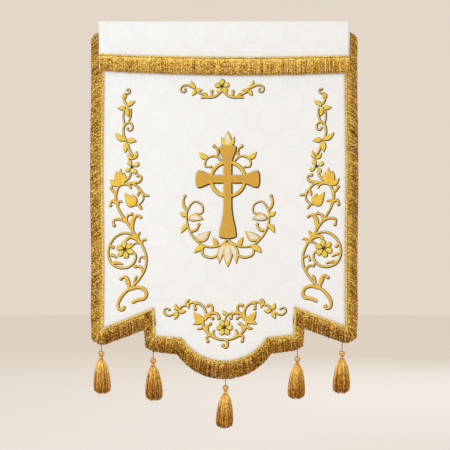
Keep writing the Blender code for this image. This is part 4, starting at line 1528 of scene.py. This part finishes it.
CROSS_LEAVES = (
    Leaf("cream", (84, -104), (46, -84), 22, 0.12),
    Leaf("cream", (103, -50), (64, -52), 19, -0.1),
    Leaf("leaf", (60, -122), (88, -140), 14, 0.1),
    Leaf("leaf", (104, -66), (122, -88), 12, 0.1),
    Leaf("leaf", (106, -42), (124, -34), 11, -0.1),
    Leaf("scroll", (30, -124), (40, -100), 12, 0.1),
    Leaf("leaf", (52, 106), (74, 122), 13, -0.1),
    Leaf("cream", (4, -114), (22, -168), 17, 0.12),
)
CROSS_MIDDLE_LEAVES = (
    Leaf("cream", (0, -112), (0, -177), 24, 0.0),
    Leaf("cream", (0, 134), (0, 176), 19, 0.0),
    Leaf("leaf", (0, 136), (17, 162), 11, -0.1),
    Leaf("leaf", (0, 136), (-17, 162), 11, 0.1),
)


def on_cross(points, side=1):
    """Points of the middle design, in millimetres from its own middle, as places (x, z) on the cloth."""
    return np.array(points) * (side * MM, MM) + CROSS_MIDDLE


def cross_outline():
    """A cross whose arms widen in a curve to bowed ends."""
    outline = []
    for degrees, length in ARMS:
        ahead = np.array((math.cos(math.radians(degrees)), math.sin(math.radians(degrees))))
        left = np.array((-ahead[1], ahead[0]))
        shares = np.linspace(ARM_HALF / length, 1, 9)
        half = ARM_HALF + ARM_FLARE * smooth_ramp((shares - ARM_STRAIGHT) / (1 - ARM_STRAIGHT)) ** 1.3
        rising = [ahead * share * length - left * wide for share, wide in zip(shares, half)]
        falling = [ahead * share * length + left * wide for share, wide in zip(shares, half)]
        bow = [ahead * (length + ARM_BOW * math.cos(turn)) + left * half[-1] * math.sin(turn)
               for turn in np.linspace(-1.2, 1.2, 7)]
        outline += rising[1:] + bow + falling[::-1]
    return np.array(outline) + CROSSING + CROSS_MIDDLE


def lay_plate(mesh, outline, paint, lift, height):
    """A flat shape of laid stitches with a rounded rim."""
    face = mesh.faces.new([mesh.verts.new((x, PANEL_FRONT - lift, z)) for x, z in outline])
    face.material_index = PAINT_ORDER.index(paint)
    if not height:
        return
    for thickness, rise in CROSS_RIMS:
        rim = bmesh.ops.inset_region(mesh, faces=[face], thickness=thickness, use_boundary=True,
                                     use_even_offset=True)["faces"]
        for band in rim:
            band.material_index = PAINT_ORDER.index("scroll")
        bmesh.ops.translate(mesh, verts=face.verts[:], vec=(0, -height * rise, 0))


def sew_ring(mesh, settings, shift):
    """The ring behind the cross."""
    turns = np.linspace(0, math.tau, 61)
    ring = CROSS_MIDDLE + CROSSING + RING_RADIUS * np.stack((np.cos(turns), np.sin(turns)), -1)
    outline_half = np.full(4, RING_HALF + settings.outline_width)
    lay_stroke(mesh, ring + shift, outline_half, "outline", OUTLINE_LIFT, 0.0, 1)
    lay_stroke(mesh, ring, np.full(4, RING_HALF), "scroll", FILL_LIFT, 0.35, 4)


def sew_cross(mesh, settings, shift):
    """The cross and its outline, cut fine enough to hang with the cloth."""
    outline = cross_outline()
    middle = CROSS_MIDDLE + CROSSING
    edge = unit(np.roll(outline, -1, 0) - np.roll(outline, 1, 0))
    grown = outline + np.stack((edge[:, 1], -edge[:, 0]), -1) * settings.outline_width * CROSS_OUTLINE
    lay_plate(mesh, grown + shift, "outline", OUTLINE_LIFT + RING_COVER, 0.0)
    lay_plate(mesh, outline, "satin", FILL_LIFT + RING_COVER, CROSS_HEIGHT)
    cut_grid(mesh, middle[1] - CROSS_LOW, middle[1] + CROSS_HIGH, CROSS_STEP, 2)
    cut_grid(mesh, middle[0] - CROSS_WIDE, middle[0] + CROSS_WIDE, CROSS_STEP, 0)
    close_back(mesh, mesh.faces[:])
    thread = mesh.verts.layers.float["thread"]
    for vert in mesh.verts:
        vert[thread] = CROSS_THREAD * vert.co.x + CROSS_THREAD * vert.co.z


def sew_middle(settings, stuffs):
    """The cross with its leaf sprays."""
    def in_sketch_units(leaves):
        return [leaf._replace(width=leaf.width * MM / SKETCH_UNIT) for leaf in leaves]

    spray = (CROSS_STEMS, in_sketch_units(CROSS_LEAVES), ())
    for hand, side in (("right", 1), ("left", -1)):
        sew_design(f"cross_spray_{hand}", spray, partial(on_cross, side=side), settings, stuffs, side)
    sew_design("cross_leaves", ((), in_sketch_units(CROSS_MIDDLE_LEAVES), ()), on_cross, settings, stuffs)
    # The ring's and the cross's outlines lie to the lower right as a painted shadow.
    shift = settings.outline_shadow_shift * CROSS_SHADOW
    for name, sew in (("cross_ring", sew_ring), ("cross", sew_cross)):
        mesh = new_needlework()
        sew(mesh, settings, shift)
        finish_needlework(name, mesh, stuffs)


# Stitching on the back

STITCH_LENGTH = 3.2 * MM
STITCH_GAP = 1.6 * MM
STITCH_RADIUS = 0.35 * MM
STITCH_RISE = np.array((0.6, -0.15, -0.15, 0.6))
STITCH_ROWS = (2.0 * MM, 10.5 * MM)
SEAM_STITCH_Z = -88.0 * MM


def stitch_row(line, y):
    """Centre lines of running stitches along a line (x, z)."""
    length = line_length(line)
    count = int(length / (STITCH_LENGTH + STITCH_GAP))
    starts = (np.arange(count) + 0.3) / count
    shares = starts[:, None] + np.linspace(0, STITCH_LENGTH / length, 4)
    flat = line_at(line, shares.ravel()).reshape(count, 4, 2)
    return raised(flat, y - STITCH_RISE * STITCH_RADIUS * 2)


def make_stitching(settings):
    """Rows of stitches on the back, where the trims are sewn on and the pocket is closed."""
    lines = [trim_line(kind, side, distance) for side in HANDS.values() for kind in EDGE_ORDER
             for distance in STITCH_ROWS]
    lines += [trim_line("scallop", 1, distance) for distance in STITCH_ROWS]
    rows = [stitch_row(line, PANEL_BACK) for line in lines]
    seam = np.array(((-CLOTH_HALF, SEAM_STITCH_Z), (CLOTH_HALF, SEAM_STITCH_Z)))
    rows.append(flap_point(stitch_row(seam, PANEL_BACK)))
    centres = hang(np.concatenate(rows))
    radii = np.full(centres.shape[:2], STITCH_RADIUS)
    mesh = join_strands("back_stitches", straight_strand(4, 4), centres, radii, np.full(len(centres), 0.6))
    set_attribute(mesh, "thread", np.zeros(len(mesh.vertices)))
    stuff = stitch_material("cotton_thread_white", settings.colour, settings.colour, 0.0)
    return new_object("back_stitches", mesh, [stuff])


# Stage

DAYLIGHT = linear("#d8ebff")
FLOOR_RADIUS = 9.0
FLOOR_SIDES = 96
SENSOR_WIDTH = 36
CAMERA_X = 0.002
CAMERA_Z = -0.529
Lamp = namedtuple("Lamp", "name place target size power")
LAMPS = (
    Lamp(name="key_light", place=(-1.9, -3.0, 0.8), target=(0, 0, -0.6), size=1.3, power=56),
    Lamp(name="fill_light", place=(2.4, -2.6, 0.2), target=(0, 0, -0.5), size=2.6, power=9),
    Lamp(name="back_light", place=(1.6, 3.4, 1.2), target=(0, 0, -0.5), size=2.6, power=30),
)


def put_in_scene(name, data):
    """A new object of the stage."""
    item = bpy.data.objects.new(name, data)
    bpy.context.scene.collection.objects.link(item)
    return item


def make_floor(settings):
    """A wide plain floor under the banner."""
    mesh = bmesh.new()
    bmesh.ops.create_circle(mesh, cap_ends=True, segments=FLOOR_SIDES,
                          radius=FLOOR_RADIUS)
    bmesh.ops.translate(mesh, verts=mesh.verts[:], vec=(0, 0, settings.floor_z))
    data = finish_mesh("floor", mesh, smooth=False)
    data.materials.append(plain_material("painted_board", settings.floor, 0.8))
    put_in_scene("floor", data)


def add_light(lamp):
    """A soft square light that looks at a target, in the colour of daylight."""
    light = bpy.data.lights.new(lamp.name, "AREA")
    light.shape = "SQUARE"
    light.size = lamp.size
    light.energy = lamp.power
    light.color = DAYLIGHT
    item = put_in_scene(lamp.name, light)
    item.location = lamp.place
    item.rotation_euler = (Vector(lamp.target) - item.location).to_track_quat("-Z", "Y").to_euler()


def make_camera(settings):
    """The camera, level and straight in front of the banner."""
    data = bpy.data.cameras.new("camera")
    data.lens = settings.lens
    data.sensor_width = SENSOR_WIDTH
    camera = put_in_scene("camera", data)
    camera.location = (CAMERA_X, -settings.distance, CAMERA_Z)
    camera.rotation_euler = (math.pi / 2, 0, 0)
    bpy.context.scene.camera = camera


def make_world(settings):
    """Even pale light from all round."""
    world = bpy.data.worlds.new("studio")
    world.use_nodes = True
    set_inputs(world.node_tree.nodes["Background"], {"Color": opaque(settings.air), "Strength": 1.0})
    bpy.context.scene.world = world
    bpy.context.scene.view_settings.view_transform = "Standard"


# Operators

class BANNER_OT_trims(bpy.types.Operator):
    """Sew the fringe and its braid along the edges"""
    bl_idname = "church_banner.trims"
    bl_label = "Fringe trims"

    def execute(self, context):
        make_trims(context.scene.church_banner_trims)
        return {"FINISHED"}


class BANNER_OT_tassels(bpy.types.Operator):
    """Hang the five tassels"""
    bl_idname = "church_banner.tassels"
    bl_label = "Tassels"

    def execute(self, context):
        make_tassels(context.scene.church_banner_tassels)
        return {"FINISHED"}


class BANNER_OT_borders(bpy.types.Operator):
    """Embroider the side vines and the sprays above and below"""
    bl_idname = "church_banner.borders"
    bl_label = "Border embroidery"

    def execute(self, context):
        settings = context.scene.church_banner_embroidery
        sew_borders(settings, thread_materials(settings))
        return {"FINISHED"}


class BANNER_OT_middle(bpy.types.Operator):
    """Embroider the cross with its leaf sprays"""
    bl_idname = "church_banner.middle"
    bl_label = "Middle embroidery"

    def execute(self, context):
        settings = context.scene.church_banner_embroidery
        sew_middle(settings, thread_materials(settings))
        return {"FINISHED"}


class BANNER_OT_stitching(bpy.types.Operator):
    """Sew the rows of stitches that show on the back"""
    bl_idname = "church_banner.stitching"
    bl_label = "Stitching"

    def execute(self, context):
        make_stitching(context.scene.church_banner_cloth)
        return {"FINISHED"}


class BANNER_OT_cloth(bpy.types.Operator):
    """Cut, fold and hang the damask that everything else is sewn to"""
    bl_idname = "church_banner.cloth"
    bl_label = "Damask cloth"

    def execute(self, context):
        cloth, flat, area = make_cloth(context.scene.church_banner_cloth)
        return {"FINISHED"}


class BANNER_OT_stage(bpy.types.Operator):
    """Set the floor, the light and the camera"""
    bl_idname = "church_banner.stage"
    bl_label = "Stage"

    def execute(self, context):
        settings = context.scene.church_banner_stage
        make_floor(settings)
        make_world(settings)
        for lamp in LAMPS:
            add_light(lamp)
        make_camera(settings)
        return {"FINISHED"}


OPERATORS = (BANNER_OT_trims, BANNER_OT_tassels, BANNER_OT_borders, BANNER_OT_middle,
             BANNER_OT_stitching, BANNER_OT_cloth, BANNER_OT_stage)
SETTINGS = (
    ("church_banner_cloth", BannerClothSettings),
    ("church_banner_trims", BannerTrimSettings),
    ("church_banner_tassels", BannerTasselSettings),
    ("church_banner_embroidery", BannerEmbroiderySettings),
    ("church_banner_stage", BannerStageSettings),
)


class BANNER_PT_sidebar(bpy.types.Panel):
    """The banner's settings and the steps that make it"""
    bl_idname = "BANNER_PT_sidebar"
    bl_label = "Church banner"
    bl_space_type = "VIEW_3D"
    bl_region_type = "UI"
    bl_category = "Church banner"

    def draw(self, context):
        for operator in OPERATORS:
            self.layout.operator(operator.bl_idname)
        for name, group in SETTINGS:
            box = self.layout.box()
            box.label(text=group.__doc__)
            for field in group.__annotations__:
                box.prop(getattr(context.scene, name), field)


def register():
    """Add the settings, the operators and the panel."""
    for name, group in SETTINGS:
        bpy.utils.register_class(group)
        setattr(bpy.types.Scene, name, bpy.props.PointerProperty(type=group))
    for operator in OPERATORS:
        bpy.utils.register_class(operator)
    bpy.utils.register_class(BANNER_PT_sidebar)


def unregister():
    """Remove the panel, the operators and the settings."""
    bpy.utils.unregister_class(BANNER_PT_sidebar)
    for operator in reversed(OPERATORS):
        bpy.utils.unregister_class(operator)
    for name, group in reversed(SETTINGS):
        delattr(bpy.types.Scene, name)
        bpy.utils.unregister_class(group)


def main():
    """Make the banner."""
    register()
    bpy.ops.church_banner.trims()
    bpy.ops.church_banner.tassels()
    bpy.ops.church_banner.borders()
    bpy.ops.church_banner.middle()
    bpy.ops.church_banner.stitching()
    bpy.ops.church_banner.cloth()
    bpy.ops.church_banner.stage()


if __name__ == "__main__":
    main()
